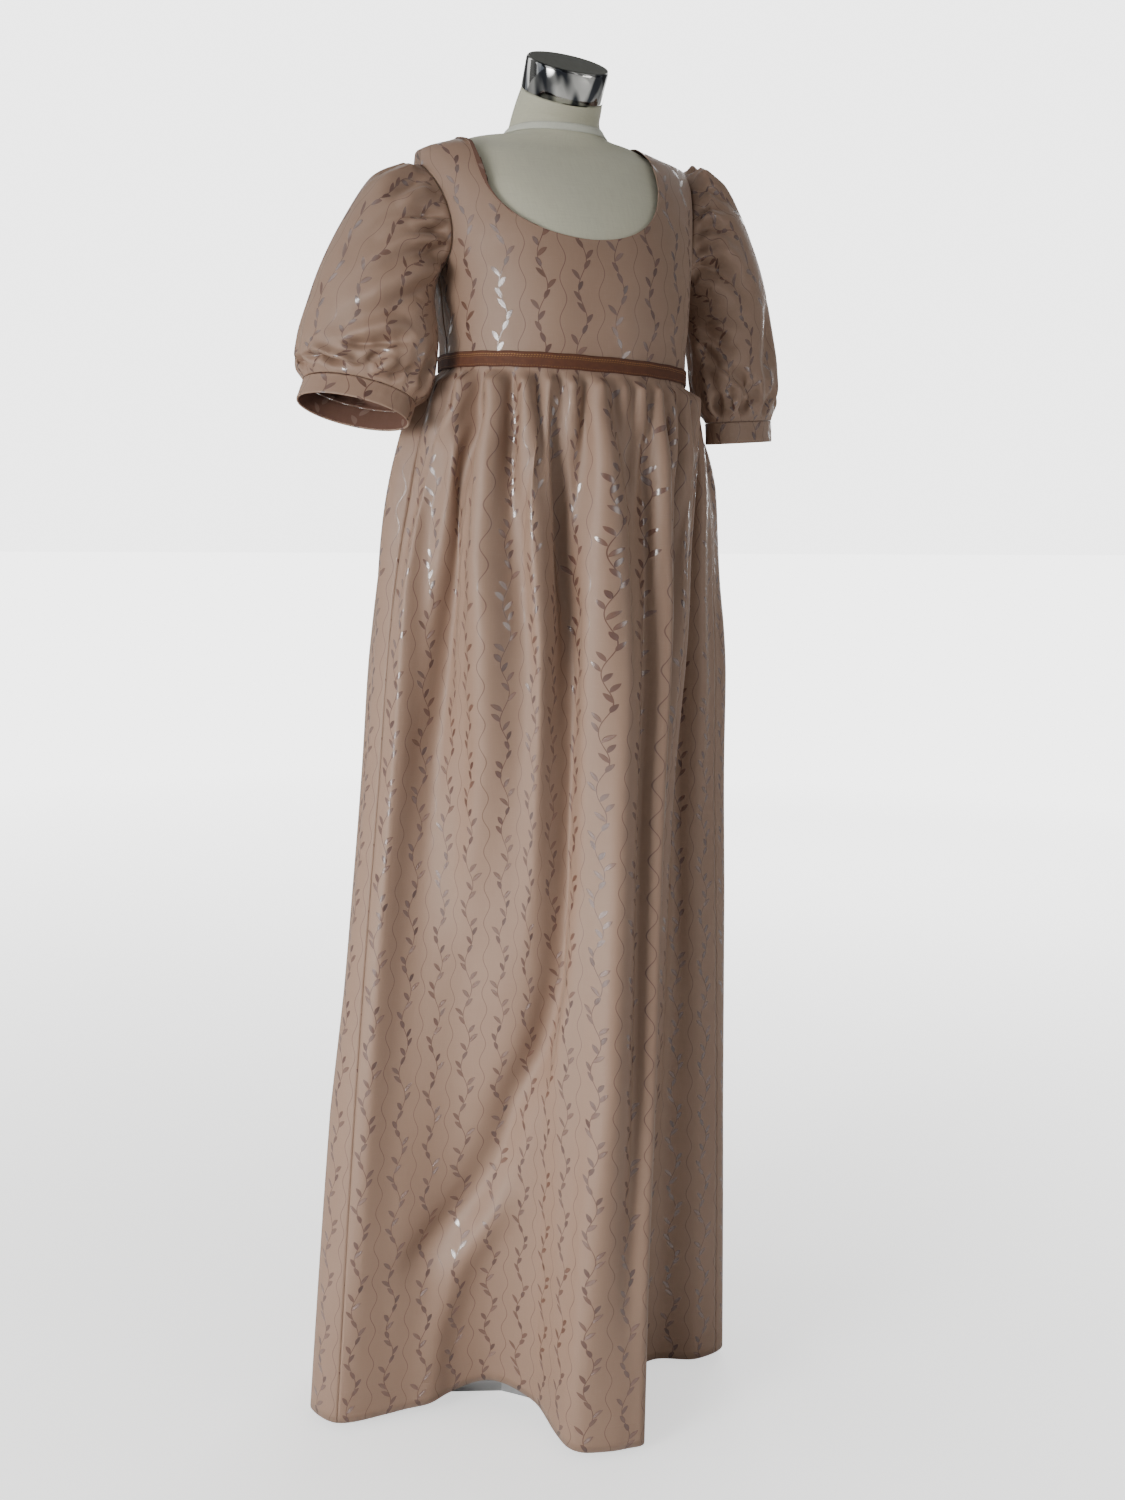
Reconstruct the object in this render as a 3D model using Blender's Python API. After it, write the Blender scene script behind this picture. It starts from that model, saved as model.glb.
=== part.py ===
"""A regency gown standing on a limbless dress form.

Metres, +Z up. The gown faces -Y and its wearer's left is at +X. The origin is on the floor, under
the middle of the gown's box. Angles round the body are counted from the front (-Y) towards +X.
"""
import math

import bmesh
import bpy
from mathutils import Vector

# Where the body's upright axis stands, from the origin
AXIS_X = 0.0010
AXIS_Y = -0.0586

CLOTH = 0.0012
SEAM_GAP = 0.0003
ROUNDNESS = 2.25

# The high waist: the ribbon's middle line and its lean to the wearer's left
WAIST_HEIGHT = 1.2440
WAIST_LEAN = 0.0055
RIBBON_WIDTH = 0.016
RIBBON_THICKNESS = 0.0010
RIBBON_LIFT = 0.0008

# Bodice edges
NECKLINE_BOTTOM = 1.3710
NECKLINE_HALF_WIDTH = 0.105
NECK_POINT_HEIGHT = 1.4930
NECKLINE_SQUARENESS = 3.3
NECKLINE_CROWDING = 2.2
BACK_NECK_BOTTOM = 1.4500
SHOULDER_TIP_HEIGHT = 1.4730
UNDERARM_HEIGHT = 1.3450
ARMHOLE_REACH_FRONT = 21.0
ARMHOLE_REACH_BACK = 17.0
NECKLINE_SHARE = 0.50
SHOULDER_SHARE = 0.60
COLUMN_BEND = 0.90
COLUMN_SHARES = (0.0, 0.30, 0.50, 0.60, 0.80, 1.0)
COLUMN_WAIST_DEGREES = (0.0, 47.0, 54.0, 60.0, 69.0, 90.0)
BODICE_COLUMNS = 18
BODICE_RISES = (0.0, 0.07, 0.24, 0.43, 0.60, 0.75, 0.88, 1.0)

# Cuffs
CUFF_HEIGHT = 0.025
CUFF_THICKNESS = 0.0022
SLEEVE_COLUMNS = 32
SLEEVE_STEPS = 10
SLEEVE_LAP = 0.0008
# The gathers' shares of the sleeve's length: they rise to full, then fade or end at the cuff
HEAD_GATHERS = 15
HEAD_GATHER_DEPTH = 0.0028
HEAD_GATHER_FULL = 0.10
HEAD_GATHER_END = 0.40
HEAD_GATHER_UNDERARM = 0.35
HEAD_GATHER_WANDER = 0.8
CUFF_GATHERS = 18
CUFF_GATHER_DEPTH = 0.0035
CUFF_GATHER_START = 0.55
CUFF_GATHER_FULL = 0.88
CUFF_GATHER_WANDER = 1.1

# Skirt
HEM_CLEARANCE = 0.010
SKIRT_COLUMNS = 58
HIP_PUSH = 0.007
HIP_DROP = 0.30
HIP_REACH = 0.12
HIP_RISE = 0.10
GATHER_START = 0.0085
GATHER_RISE = 0.024
GATHER_WIDTH = 0.62
GATHER_SPREAD = 0.20
GATHER_FADE_START = 0.25
SPREAD_START = 0.010
LEAST_EASE = 0.12
BACK_FOLDS = 5
BACK_FOLD_DEPTH = 0.017
BACK_HALF_WIDTH = 0.262
BACK_DEPTH = 0.228
BACK_MIDDLE_Y = 0.030
BACK_EASE = 0.50

# Stand
POLE_Y = 0.035
POLE_RADIUS = 0.016
COLLAR_RADIUS = 0.026
COLLAR_HEIGHT = 0.024
FOOT_THICKNESS = 0.014
LEG_LENGTH = 0.160
LEG_WIDTH = 0.026
LEG_DEGREES = (12.0, 134.0, 254.0)
LEG_FLARE = 0.008
LEG_END_STEPS = 6
FOOT_BEVEL = 0.003
FOOT_TOP_SHRINK = 0.985
HUB_RADIUS = 0.040
COLLAR_CONE = 0.006
POLE_SIDES = 20
CAP_RADIUS = 0.0460
CAP_LENGTH = 0.034
CAP_TILT = 20.0
CAP_FOOT_Y = 0.0066
CAP_FOOT_HEIGHT = 1.5430
TAPE_LOW = 1.4990
TAPE_HIGH = 1.5075
TAPE_THICKNESS = 0.0009
TAPE_LIFT = 0.0007
FORM_SIDES = 24
RIBBON_COLUMNS = 48
RIBBON_SPLIT_DEG = 0.06
# How far apart the points are that give a surface its direction
BODY_STEP_DEG = 1.0
BODY_STEP = 0.002
SKIRT_STEP = 0.006
SKIRT_FINE_STEP = 0.002

SECTION_COLUMNS = ("height", "half_width", "front", "side", "back")
BODICE_SECTIONS = (
    (1.2300, 0.1370, -0.1270, -0.007, 0.1130),
    (1.2680, 0.1371, -0.1271, -0.007, 0.1130),
    (1.2900, 0.1395, -0.1300, -0.004, 0.1145),
    (1.3300, 0.1425, -0.1275, 0.000, 0.1160),
    (1.3710, 0.1490, -0.1180, 0.006, 0.1170),
    (1.4000, 0.1540, -0.1050, 0.012, 0.1150),
    (1.4300, 0.1590, -0.0880, 0.018, 0.1090),
    (1.4550, 0.1620, -0.0680, 0.024, 0.1000),
    (1.4720, 0.1600, -0.0500, 0.028, 0.0910),
    (1.4840, 0.1300, -0.0360, 0.032, 0.0840),
    (1.4930, 0.1050, -0.0270, 0.035, 0.0780),
)
FORM_SECTIONS = (
    (0.8700, 0.1000, -0.0700, 0.010, 0.0850),
    (0.8850, 0.1240, -0.0870, 0.010, 0.1010),
    (0.9500, 0.1370, -0.0970, 0.010, 0.1120),
    (1.0500, 0.1270, -0.0950, 0.005, 0.0970),
    (1.1300, 0.1120, -0.0880, 0.000, 0.0820),
    (1.2000, 0.1220, -0.1040, -0.004, 0.0960),
    (1.2435, 0.1300, -0.1160, -0.006, 0.1040),
    (1.2900, 0.1345, -0.1240, -0.004, 0.1080),
    (1.3300, 0.1370, -0.1235, 0.000, 0.1105),
    (1.3710, 0.1430, -0.1155, 0.006, 0.1130),
    (1.4000, 0.1480, -0.1012, 0.012, 0.1095),
    (1.4260, 0.1520, -0.0840, 0.018, 0.1010),
    (1.4490, 0.1540, -0.0645, 0.024, 0.0915),
    (1.4660, 0.1500, -0.0460, 0.028, 0.0825),
    (1.4790, 0.1215, -0.0305, 0.032, 0.0765),
    (1.4908, 0.1010, -0.0245, 0.035, 0.0745),
    (1.4950, 0.0750, -0.0235, 0.032, 0.0745),
    (1.5000, 0.0580, -0.0230, 0.0285, 0.0760),
    (1.5080, 0.0510, -0.0225, 0.027, 0.0755),
)
NECK_COLUMNS = ("y", "height", "radius", "tilt")
NECK_RINGS = (
    (0.0240, 1.5190, 0.0492, 7.0),
    (0.0160, 1.5310, 0.0475, 14.0),
    (0.0067, 1.5427, 0.0455, 20.0),
)

# One row for each thread of cloth that a large fold runs along: its angle under the ribbon, its
# place at the hem from the body's axis, and how late it leaves the upright (a small ease spreads
# at once, a large one hangs straight first)
THREAD_COLUMNS = ("name", "ribbon_deg", "hem_x", "hem_y", "hem_lift", "ease")
SKIRT_THREADS = (
    ("side fold back", -107.0, -0.278, 0.062, 0.000, 0.45),
    ("side fold front", -92.0, -0.262, 0.024, 0.000, 0.45),
    ("side panel", -76.0, -0.200, 0.013, 0.002, 0.60),
    ("side panel inner", -57.0, -0.120, 0.015, 0.012, 1.10),
    ("front hollow", -40.0, -0.072, 0.002, 0.024, 1.70),
    ("front fold root", -25.0, -0.033, -0.045, 0.015, 1.50),
    ("front fold flank", -13.0, -0.024, -0.105, 0.004, 1.00),
    ("front fold ridge", -2.0, -0.004, -0.140, 0.000, 0.80),
    ("front fold face", 13.0, 0.030, -0.156, 0.000, 0.70),
    ("front fold edge", 27.0, 0.059, -0.152, 0.000, 0.70),
    ("front fold return", 36.0, 0.062, -0.084, 0.000, 0.90),
    ("pipe", 48.0, 0.078, -0.060, 0.000, 1.20),
    ("pipe return", 61.0, 0.112, -0.006, 0.000, 1.80),
    ("far panel", 72.0, 0.152, 0.006, 0.000, 0.80),
    ("far fold face", 83.0, 0.212, -0.017, 0.000, 0.30),
    ("far fold edge", 95.0, 0.256, -0.004, 0.000, 0.16),
    ("far fold back", 107.0, 0.260, 0.056, 0.000, 0.20),
)

# The gathers under the ribbon: crest angle, depth, and how far down each one runs
GATHER_COLUMNS = ("deg", "depth", "reach")
FRONT_GATHERS = (
    (-99.0, 0.0090, 0.34),
    (-84.0, 0.0065, 0.16),
    (-68.0, 0.0100, 0.42),
    (-51.0, 0.0100, 0.60),
    (-36.0, 0.0080, 0.28),
    (-25.0, 0.0070, 0.36),
    (-15.0, 0.0060, 0.14),
    (-4.0, 0.0080, 0.60),
    (5.0, 0.0050, 0.12),
    (13.0, 0.0060, 0.20),
    (22.0, 0.0065, 0.34),
    (33.0, 0.0050, 0.12),
    (45.0, 0.0065, 0.22),
    (57.0, 0.0095, 0.36),
    (70.0, 0.0070, 0.18),
    (84.0, 0.0085, 0.30),
)
BACK_GATHERS = 12
BACK_GATHER_FIRST = 98.0
BACK_GATHER_LAST = 247.0
BACK_GATHER_WANDER = 2.2
BACK_GATHER_DEPTH = 0.0080
BACK_GATHER_REACH = 0.26

SKIRT_DROPS = (0.0, 0.0085, 0.018, 0.030, 0.048, 0.076, 0.120, 0.185, 0.270,
               0.380, 0.510, 0.660, 0.820, 0.980, 1.120, 1.2335)

# The sleeve's rings, each from its outer point to its inner one, with its half depth to the front
# and the way that depth faces, turned outwards from the front
SLEEVE_COLUMNS_OF_TABLE = ("name", "outer_x", "outer_y", "outer_z", "inner_x", "inner_y",
                           "inner_z", "depth", "face")
SLEEVE_SECTIONS = (
    ("head", 0.176, 0.027, 1.480, 0.149, -0.002, 1.334, 0.050, 5.0),
    ("shoulder", 0.207, 0.031, 1.462, 0.153, -0.010, 1.320, 0.054, 14.0),
    ("upper", 0.243, 0.037, 1.405, 0.156, -0.024, 1.303, 0.052, 24.0),
    ("full", 0.272, 0.042, 1.335, 0.158, -0.036, 1.281, 0.047, 31.0),
    ("lower", 0.287, 0.044, 1.275, 0.162, -0.042, 1.250, 0.044, 35.0),
    ("gathered", 0.290, 0.041, 1.238, 0.170, -0.040, 1.224, 0.040, 35.0),
    ("cuff seam", 0.285, 0.0355, 1.213, 0.183, -0.0355, 1.205, 0.032, 35.0),
)
# How each sleeve hangs: its side, the puff's rise at the shoulder, the cuff's rise, how far the
# cuff's front tips up and how far its inner end dips
HANG_COLUMNS = ("name", "side", "puff_rise", "cuff_rise", "tip", "dip")
SLEEVE_HANGS = (
    ("right", -1.0, -0.004, 0.004, 30.0, 0.006),
    ("left", 1.0, 0.008, -0.010, 2.0, 0.000),
)

COLOURS = {
    "jacquard": ((0.36, 0.26, 0.21), 0.45, 0.0),
    "ribbon": ((0.16, 0.07, 0.035), 0.60, 0.0),
    "form_linen": ((0.62, 0.60, 0.50), 0.85, 0.0),
    "neck_tape": ((0.72, 0.70, 0.60), 0.80, 0.0),
    "chrome": ((0.80, 0.80, 0.82), 0.08, 1.0),
    "stand_steel": ((0.55, 0.55, 0.56), 0.30, 1.0),
}


def rows_of(columns, table):
    return [dict(zip(columns, row)) for row in table]


def smoothstep(value):
    value = min(max(value, 0.0), 1.0)
    return value * value * (3.0 - 2.0 * value)


def hump(place, start, full, end):
    """Rises from 0 at start to 1 at full and falls to 0 at end."""
    rise = smoothstep((place - start) / (full - start))
    return rise * (1.0 - smoothstep((place - full) / (end - full)))


def along(knots, values, place):
    """A smooth curve through the values at the knots, which rise, held flat at turning points."""
    last = len(knots) - 1
    place = min(max(place, knots[0]), knots[last])
    index = max(i for i in range(last) if knots[i] <= place or i == 0)
    slopes = [(values[i + 1] - values[i]) / (knots[i + 1] - knots[i]) for i in range(last)]

    def tangent(i):
        if i == 0 or i == last:
            return slopes[min(i, last - 1)]
        before, after = slopes[i - 1], slopes[i]
        if before * after <= 0.0:
            return 0.0
        return 2.0 * before * after / (before + after)

    step = knots[index + 1] - knots[index]
    t = (place - knots[index]) / step
    blend = t * t * (3.0 - 2.0 * t)
    start = (t - 2.0 * t * t + t ** 3) * step * tangent(index)
    end = (t ** 3 - t * t) * step * tangent(index + 1)
    return values[index] * (1.0 - blend) + values[index + 1] * blend + start + end


def round_curve(knots, values, place):
    """A smooth closed curve through the values. The last knot repeats the first."""
    count = len(knots) - 1
    span = knots[count] - knots[0]
    turn = values[count] - values[0]
    place = knots[0] + (place - knots[0]) % span
    index = max(i for i in range(count) if knots[i] <= place)

    def knot(i):
        return knots[i % count] + span * (i // count)

    def value(i):
        return values[i % count] + turn * (i // count)

    def tangent(i):
        before = (value(i) - value(i - 1)) / (knot(i) - knot(i - 1))
        after = (value(i + 1) - value(i)) / (knot(i + 1) - knot(i))
        left = knot(i) - knot(i - 1)
        right = knot(i + 1) - knot(i)
        return (before * right + after * left) / (left + right)

    step = knots[index + 1] - knots[index]
    t = (place - knots[index]) / step
    blend = t * t * (3.0 - 2.0 * t)
    start = (t - 2.0 * t * t + t ** 3) * step * tangent(index)
    end = (t ** 3 - t * t) * step * tangent(index + 1)
    return values[index] * (1.0 - blend) + values[index + 1] * blend + start + end


def section_at(table, height):
    heights = [row[0] for row in table]
    section = {"height": height}
    for number, name in enumerate(SECTION_COLUMNS[1:], 1):
        section[name] = along(heights, [row[number] for row in table], height)
    return section


def section_point(section, degrees):
    """A point of a body section, at an angle from the front towards +X."""
    angle = math.radians(degrees)
    sine, cosine = math.sin(angle), math.cos(angle)
    power = 2.0 / ROUNDNESS
    x = section["half_width"] * math.copysign(abs(sine) ** power, sine)
    reach = section["front"] if cosine > 0.0 else section["back"]
    y = section["side"] + (reach - section["side"]) * abs(cosine) ** power
    return Vector((AXIS_X + x, AXIS_Y + y, section["height"]))


def body_point(table, degrees, height, out=0.0):
    """A point on the body that a table of sections describes, moved out along its normal."""
    point = section_point(section_at(table, height), degrees)
    if out == 0.0:
        return point
    low, high = table[0][0], table[-1][0]
    below, above = max(height - BODY_STEP, low), min(height + BODY_STEP, high)
    across = (section_point(section_at(table, height), degrees + BODY_STEP_DEG)
              - section_point(section_at(table, height), degrees - BODY_STEP_DEG))
    upwards = (section_point(section_at(table, above), degrees)
               - section_point(section_at(table, below), degrees))
    return point + across.cross(upwards).normalized() * out


def waist_height(degrees):
    return WAIST_HEIGHT - WAIST_LEAN * math.sin(math.radians(degrees))


def angle_of_width(width, height):
    """The angle from the front at which the bodice is that far from its middle."""
    half_width = section_at(BODICE_SECTIONS, height)["half_width"]
    share = min(width / half_width, 1.0) ** (ROUNDNESS / 2.0)
    return math.degrees(math.asin(share))


def width_of_angle(degrees, height):
    half_width = section_at(BODICE_SECTIONS, height)["half_width"]
    return half_width * math.sin(math.radians(degrees)) ** (2.0 / ROUNDNESS)


def bodice_edge(share, reach, bottom):
    """The top edge of half a bodice panel, from its middle over the shoulder to the underarm."""
    if share <= NECKLINE_SHARE:
        turn = math.radians(90.0 * (1.0 - (1.0 - share / NECKLINE_SHARE) ** NECKLINE_CROWDING))
        fall = max(math.cos(turn), 0.0) ** (2.0 / NECKLINE_SQUARENESS)
        height = NECK_POINT_HEIGHT - (NECK_POINT_HEIGHT - bottom) * fall
        return angle_of_width(NECKLINE_HALF_WIDTH * math.sin(turn), height), height
    if share <= SHOULDER_SHARE:
        part = (share - NECKLINE_SHARE) / (SHOULDER_SHARE - NECKLINE_SHARE)
        return 90.0, NECK_POINT_HEIGHT + (SHOULDER_TIP_HEIGHT - NECK_POINT_HEIGHT) * part
    turn = math.pi * (share - SHOULDER_SHARE) / (1.0 - SHOULDER_SHARE)
    middle = (SHOULDER_TIP_HEIGHT + UNDERARM_HEIGHT) / 2.0
    half = (SHOULDER_TIP_HEIGHT - UNDERARM_HEIGHT) / 2.0
    return 90.0 - reach * math.sin(turn), middle + half * math.cos(turn)


def bodice_place(share, rise, reach, bottom):
    """Angle from the panel's middle and height, at a share round its edge and a rise to it."""
    edge_angle, edge_height = bodice_edge(share, reach, bottom)
    start_angle = along(COLUMN_SHARES, COLUMN_WAIST_DEGREES, share)
    keep, middle, end = (1.0 - rise) ** 2, 2.0 * rise * (1.0 - rise), rise * rise
    bend_height = WAIST_HEIGHT + (edge_height - WAIST_HEIGHT) * COLUMN_BEND
    height = WAIST_HEIGHT * keep + bend_height * middle + edge_height * end
    width = (width_of_angle(start_angle, WAIST_HEIGHT) * (keep + middle)
             + width_of_angle(edge_angle, edge_height) * end)
    by_width = angle_of_width(width, height)
    by_angle = start_angle * (keep + middle) + edge_angle * end
    blend = smoothstep((share - SHOULDER_SHARE) / (1.0 - SHOULDER_SHARE))
    return by_width + (by_angle - by_width) * blend, height


def sleeve_ring(hang, share, turn_deg, out=0.0):
    """A point of a sleeve: share 0 at the armhole and 1 at the cuff, turn 0 outside, 90 in front."""
    rows = rows_of(SLEEVE_COLUMNS_OF_TABLE, SLEEVE_SECTIONS)
    knots = [i / (len(rows) - 1) for i in range(len(rows))]
    now = {name: along(knots, [row[name] for row in rows], share)
           for name in SLEEVE_COLUMNS_OF_TABLE[1:]}
    rise = hang["puff_rise"] * (1.0 - share) + hang["cuff_rise"] * share
    dip = hang["dip"] * smoothstep(share * 2.0 - 1.0)
    tip = math.radians(hang["tip"] * smoothstep(share * 2.0 - 1.0))
    outer = Vector((now["outer_x"], now["outer_y"], now["outer_z"] + rise + dip))
    inner = Vector((now["inner_x"], now["inner_y"], now["inner_z"] + rise * share - dip))
    face = math.radians(now["face"])
    depth = now["depth"] + out
    front = Vector((math.sin(face) * math.cos(tip), -math.cos(face) * math.cos(tip),
                    math.sin(tip))) * depth
    width = (outer - inner) / 2.0
    width += width.normalized() * out
    turn = math.radians(turn_deg)
    point = (outer + inner) / 2.0 + width * math.cos(turn) + front * math.sin(turn)
    down = width.cross(front).normalized()
    side = hang["side"]
    return (Vector((AXIS_X + side * point.x, AXIS_Y + point.y, point.z)),
            Vector((side * down.x, down.y, down.z)))


def armhole_point(side, turn_deg):
    """The armhole's edge on the bodice, moved out for the sleeve to lie on."""
    turn = math.radians(turn_deg)
    reach = ARMHOLE_REACH_FRONT if math.sin(turn) > 0.0 else ARMHOLE_REACH_BACK
    middle = (SHOULDER_TIP_HEIGHT + UNDERARM_HEIGHT) / 2.0
    half = (SHOULDER_TIP_HEIGHT - UNDERARM_HEIGHT) / 2.0
    angle = 90.0 - reach * math.sin(turn)
    return body_point(BODICE_SECTIONS, side * angle, middle + half * math.cos(turn), SLEEVE_LAP)


def sleeve_gather(share, turn_deg):
    """How far the gathers at the head and at the cuff push the sleeve out."""
    turn = math.radians(turn_deg)
    head = hump(share, 0.0, HEAD_GATHER_FULL, HEAD_GATHER_END)
    head *= HEAD_GATHER_UNDERARM + (1.0 - HEAD_GATHER_UNDERARM) * max(math.cos(turn), 0.0)
    cuff = hump(share, CUFF_GATHER_START, CUFF_GATHER_FULL, 1.0)
    head_turn = HEAD_GATHERS * turn + HEAD_GATHER_WANDER * math.sin(2.0 * turn)
    cuff_turn = CUFF_GATHERS * turn + CUFF_GATHER_WANDER * math.sin(3.0 * turn)
    head_wave, cuff_wave = (0.5 + 0.5 * math.cos(angle) for angle in (head_turn, cuff_turn))
    return HEAD_GATHER_DEPTH * head * head_wave + CUFF_GATHER_DEPTH * cuff * cuff_wave


def sleeve_point(hang, share, turn_deg):
    first = 1.0 / SLEEVE_STEPS
    gather = sleeve_gather(share, turn_deg)
    if share >= first:
        return sleeve_ring(hang, (share - first) / (1.0 - first), turn_deg, gather)[0]
    edge = armhole_point(hang["side"], turn_deg)
    ring = sleeve_ring(hang, 0.0, turn_deg, gather)[0]
    return edge.lerp(ring, share / first)


def skirt_threads():
    """The table's threads, then the plain folds at the back, worked out in a loop."""
    threads = rows_of(THREAD_COLUMNS, SKIRT_THREADS)
    first, last = threads[-1]["ribbon_deg"], threads[0]["ribbon_deg"] + 360.0
    count = 2 * BACK_FOLDS
    for number in range(1, count + 1):
        degrees = first + (last - first) * number / (count + 1)
        wave = BACK_FOLD_DEPTH if number % 2 else -BACK_FOLD_DEPTH
        angle = math.radians(degrees)
        threads.append({
            "name": "back fold",
            "ribbon_deg": degrees,
            "hem_x": (BACK_HALF_WIDTH + wave) * math.sin(angle),
            "hem_y": BACK_MIDDLE_Y - (BACK_DEPTH + wave) * math.cos(angle),
            "hem_lift": 0.0,
            "ease": BACK_EASE,
        })
    return threads


def gathers():
    rows = rows_of(GATHER_COLUMNS, FRONT_GATHERS)
    step = (BACK_GATHER_LAST - BACK_GATHER_FIRST) / (BACK_GATHERS - 1)
    for number in range(BACK_GATHERS):
        rows.append({
            "deg": BACK_GATHER_FIRST + step * number + BACK_GATHER_WANDER * math.sin(2.4 * number),
            "depth": BACK_GATHER_DEPTH * (1.0 + 0.25 * math.sin(1.7 * number)),
            "reach": BACK_GATHER_REACH * (1.0 + 0.5 * math.sin(2.9 * number)),
        })
    return rows


def skirt_setup():
    """Knots round the hem, counted in cloth, with each column of the threads as a closed curve."""
    threads = skirt_threads()
    knots = [0.0]
    for before, after in zip(threads, threads[1:] + threads[:1]):
        knots.append(knots[-1] + math.hypot(after["hem_x"] - before["hem_x"],
                                            after["hem_y"] - before["hem_y"]))
    columns = {name: [thread[name] for thread in threads] + [threads[0][name]]
               for name in THREAD_COLUMNS[1:]}
    columns["ribbon_deg"][-1] += 360.0
    rows = gathers()
    rows.sort(key=lambda row: row["deg"])
    for number, row in enumerate(rows):
        before = rows[number - 1]["deg"] - (360.0 if number == 0 else 0.0)
        after = rows[(number + 1) % len(rows)]["deg"] + (360.0 if number == len(rows) - 1 else 0.0)
        row["pitch"] = (after - before) / 2.0
    return {"knots": knots, "columns": columns, "gathers": rows}


def gather_push(rows, degrees, drop):
    push = 0.0
    for row in rows:
        away = abs((degrees - row["deg"] + 180.0) % 360.0 - 180.0)
        width = row["pitch"] * GATHER_WIDTH * (1.0 + drop / GATHER_SPREAD)
        if away < width:
            faded = (drop / row["reach"] - GATHER_FADE_START) / (1.0 - GATHER_FADE_START)
            wave = math.cos(0.5 * math.pi * away / width) ** 2
            push += row["depth"] * (1.0 - smoothstep(faded)) * wave
    return push * smoothstep((drop - GATHER_START) / GATHER_RISE)


def skirt_thread(setup, place, drop):
    """A point of the skirt before its gathers, and its angle under the ribbon."""
    values = {name: round_curve(setup["knots"], column, place)
              for name, column in setup["columns"].items()}
    degrees = values["ribbon_deg"]
    top = section_point(section_at(BODICE_SECTIONS, WAIST_HEIGHT), degrees)
    top.z = waist_height(degrees) - SEAM_GAP
    hem_height = HEM_CLEARANCE + max(values["hem_lift"], 0.0)
    share = drop / SKIRT_DROPS[-1]
    ease = max(values["ease"], LEAST_EASE)
    fall = max(drop - GATHER_START, 0.0) / (SKIRT_DROPS[-1] - GATHER_START)
    spread = ((fall + SPREAD_START) ** ease - SPREAD_START ** ease) / (
        (1.0 + SPREAD_START) ** ease - SPREAD_START ** ease)
    x = top.x + (AXIS_X + values["hem_x"] - top.x) * spread
    y = top.y + (AXIS_Y + values["hem_y"] - top.y) * spread
    return Vector((x, y, top.z + (hem_height - top.z) * share)), degrees


def skirt_surface(setup, place, drop):
    point, degrees = skirt_thread(setup, place, drop)
    ahead = skirt_thread(setup, place + SKIRT_STEP, drop)[0]
    behind = skirt_thread(setup, place - SKIRT_STEP, drop)[0]
    across = ahead - behind
    outwards = Vector((across.y, -across.x, 0.0)).normalized()
    hips = HIP_PUSH * math.exp(-((drop - HIP_DROP) / HIP_REACH) ** 2)
    hips *= smoothstep(drop / HIP_RISE)
    return point + outwards * (gather_push(setup["gathers"], degrees, drop) + hips)


def skirt_point(setup, place, drop, out):
    """A point of the skirt's outer face, or of its inner one, a wall's thickness behind."""
    point = skirt_surface(setup, place, drop)
    if out == 0.0:
        return point
    step = SKIRT_FINE_STEP
    low, high = min(drop + step, SKIRT_DROPS[-1]), max(drop - step, 0.0)
    across = skirt_surface(setup, place + step, drop) - skirt_surface(setup, place - step, drop)
    upwards = skirt_surface(setup, place, high) - skirt_surface(setup, place, low)
    return point + across.cross(upwards).normalized() * out


def place_of_angle(setup, degrees):
    """The place round the cloth whose thread starts at that angle under the ribbon."""
    low, high = 0.0, setup["knots"][-1]
    for _ in range(40):
        middle = (low + high) / 2.0
        if round_curve(setup["knots"], setup["columns"]["ribbon_deg"], middle) < degrees:
            low = middle
        else:
            high = middle
    return low


def material(name):
    colour, roughness, metallic = COLOURS[name]
    made = bpy.data.materials.new(name)
    made.use_nodes = True
    shader = made.node_tree.nodes["Principled BSDF"]
    shader.inputs["Base Color"].default_value = (*colour, 1.0)
    shader.inputs["Roughness"].default_value = roughness
    shader.inputs["Metallic"].default_value = metallic
    return made


def add_object(name, mesh_data, finish):
    mesh = bpy.data.meshes.new(name)
    mesh_data.to_mesh(mesh)
    mesh_data.free()
    mesh.materials.append(material(finish))
    mesh.shade_smooth()
    made = bpy.data.objects.new(name, mesh)
    bpy.context.collection.objects.link(made)
    return made


def join_rows(mesh_data, rows, closed, flip):
    """Faces between rows of points: rows run upwards, points towards +X seen from the front."""
    lines = [[mesh_data.verts.new(point) for point in row] for row in rows]
    count = len(rows[0])
    for lower, upper in zip(lines, lines[1:]):
        for i in range(count if closed else count - 1):
            j = (i + 1) % count
            corners = [lower[i], lower[j], upper[j], upper[i]]
            mesh_data.faces.new(corners[::-1] if flip else corners)
    return lines


def cloth(name, rows, finish="jacquard", thickness=CLOTH, closed=False, flip=False):
    """A wall of cloth inside the rows of outer points."""
    mesh_data = bmesh.new()
    join_rows(mesh_data, rows, closed, flip)
    made = add_object(name, mesh_data, finish)
    wall = made.modifiers.new("wall", "SOLIDIFY")
    wall.thickness = thickness
    wall.offset = -1.0
    return made


def wall(name, outer, inner, finish="jacquard"):
    """A wall of cloth between two grids of points that share their edges' directions."""
    mesh_data = bmesh.new()
    outside = join_rows(mesh_data, outer, False, False)
    inside = join_rows(mesh_data, inner, False, True)

    def border(lines):
        top, bottom = lines[-1], lines[0]
        right = [line[-1] for line in lines]
        left = [line[0] for line in lines]
        return bottom[:-1] + right[:-1] + top[:0:-1] + left[:0:-1]

    edge_out, edge_in = border(outside), border(inside)
    for i, corner in enumerate(edge_out):
        j = (i + 1) % len(edge_out)
        mesh_data.faces.new([edge_out[j], corner, edge_in[i], edge_in[j]])
    return add_object(name, mesh_data, finish)


def solid(name, rings, finish):
    """A closed solid through rings, with a flat face at each end."""
    mesh_data = bmesh.new()
    lines = join_rows(mesh_data, rings, True, False)
    mesh_data.faces.new(lines[0][::-1])
    mesh_data.faces.new(lines[-1])
    return add_object(name, mesh_data, finish)


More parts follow.
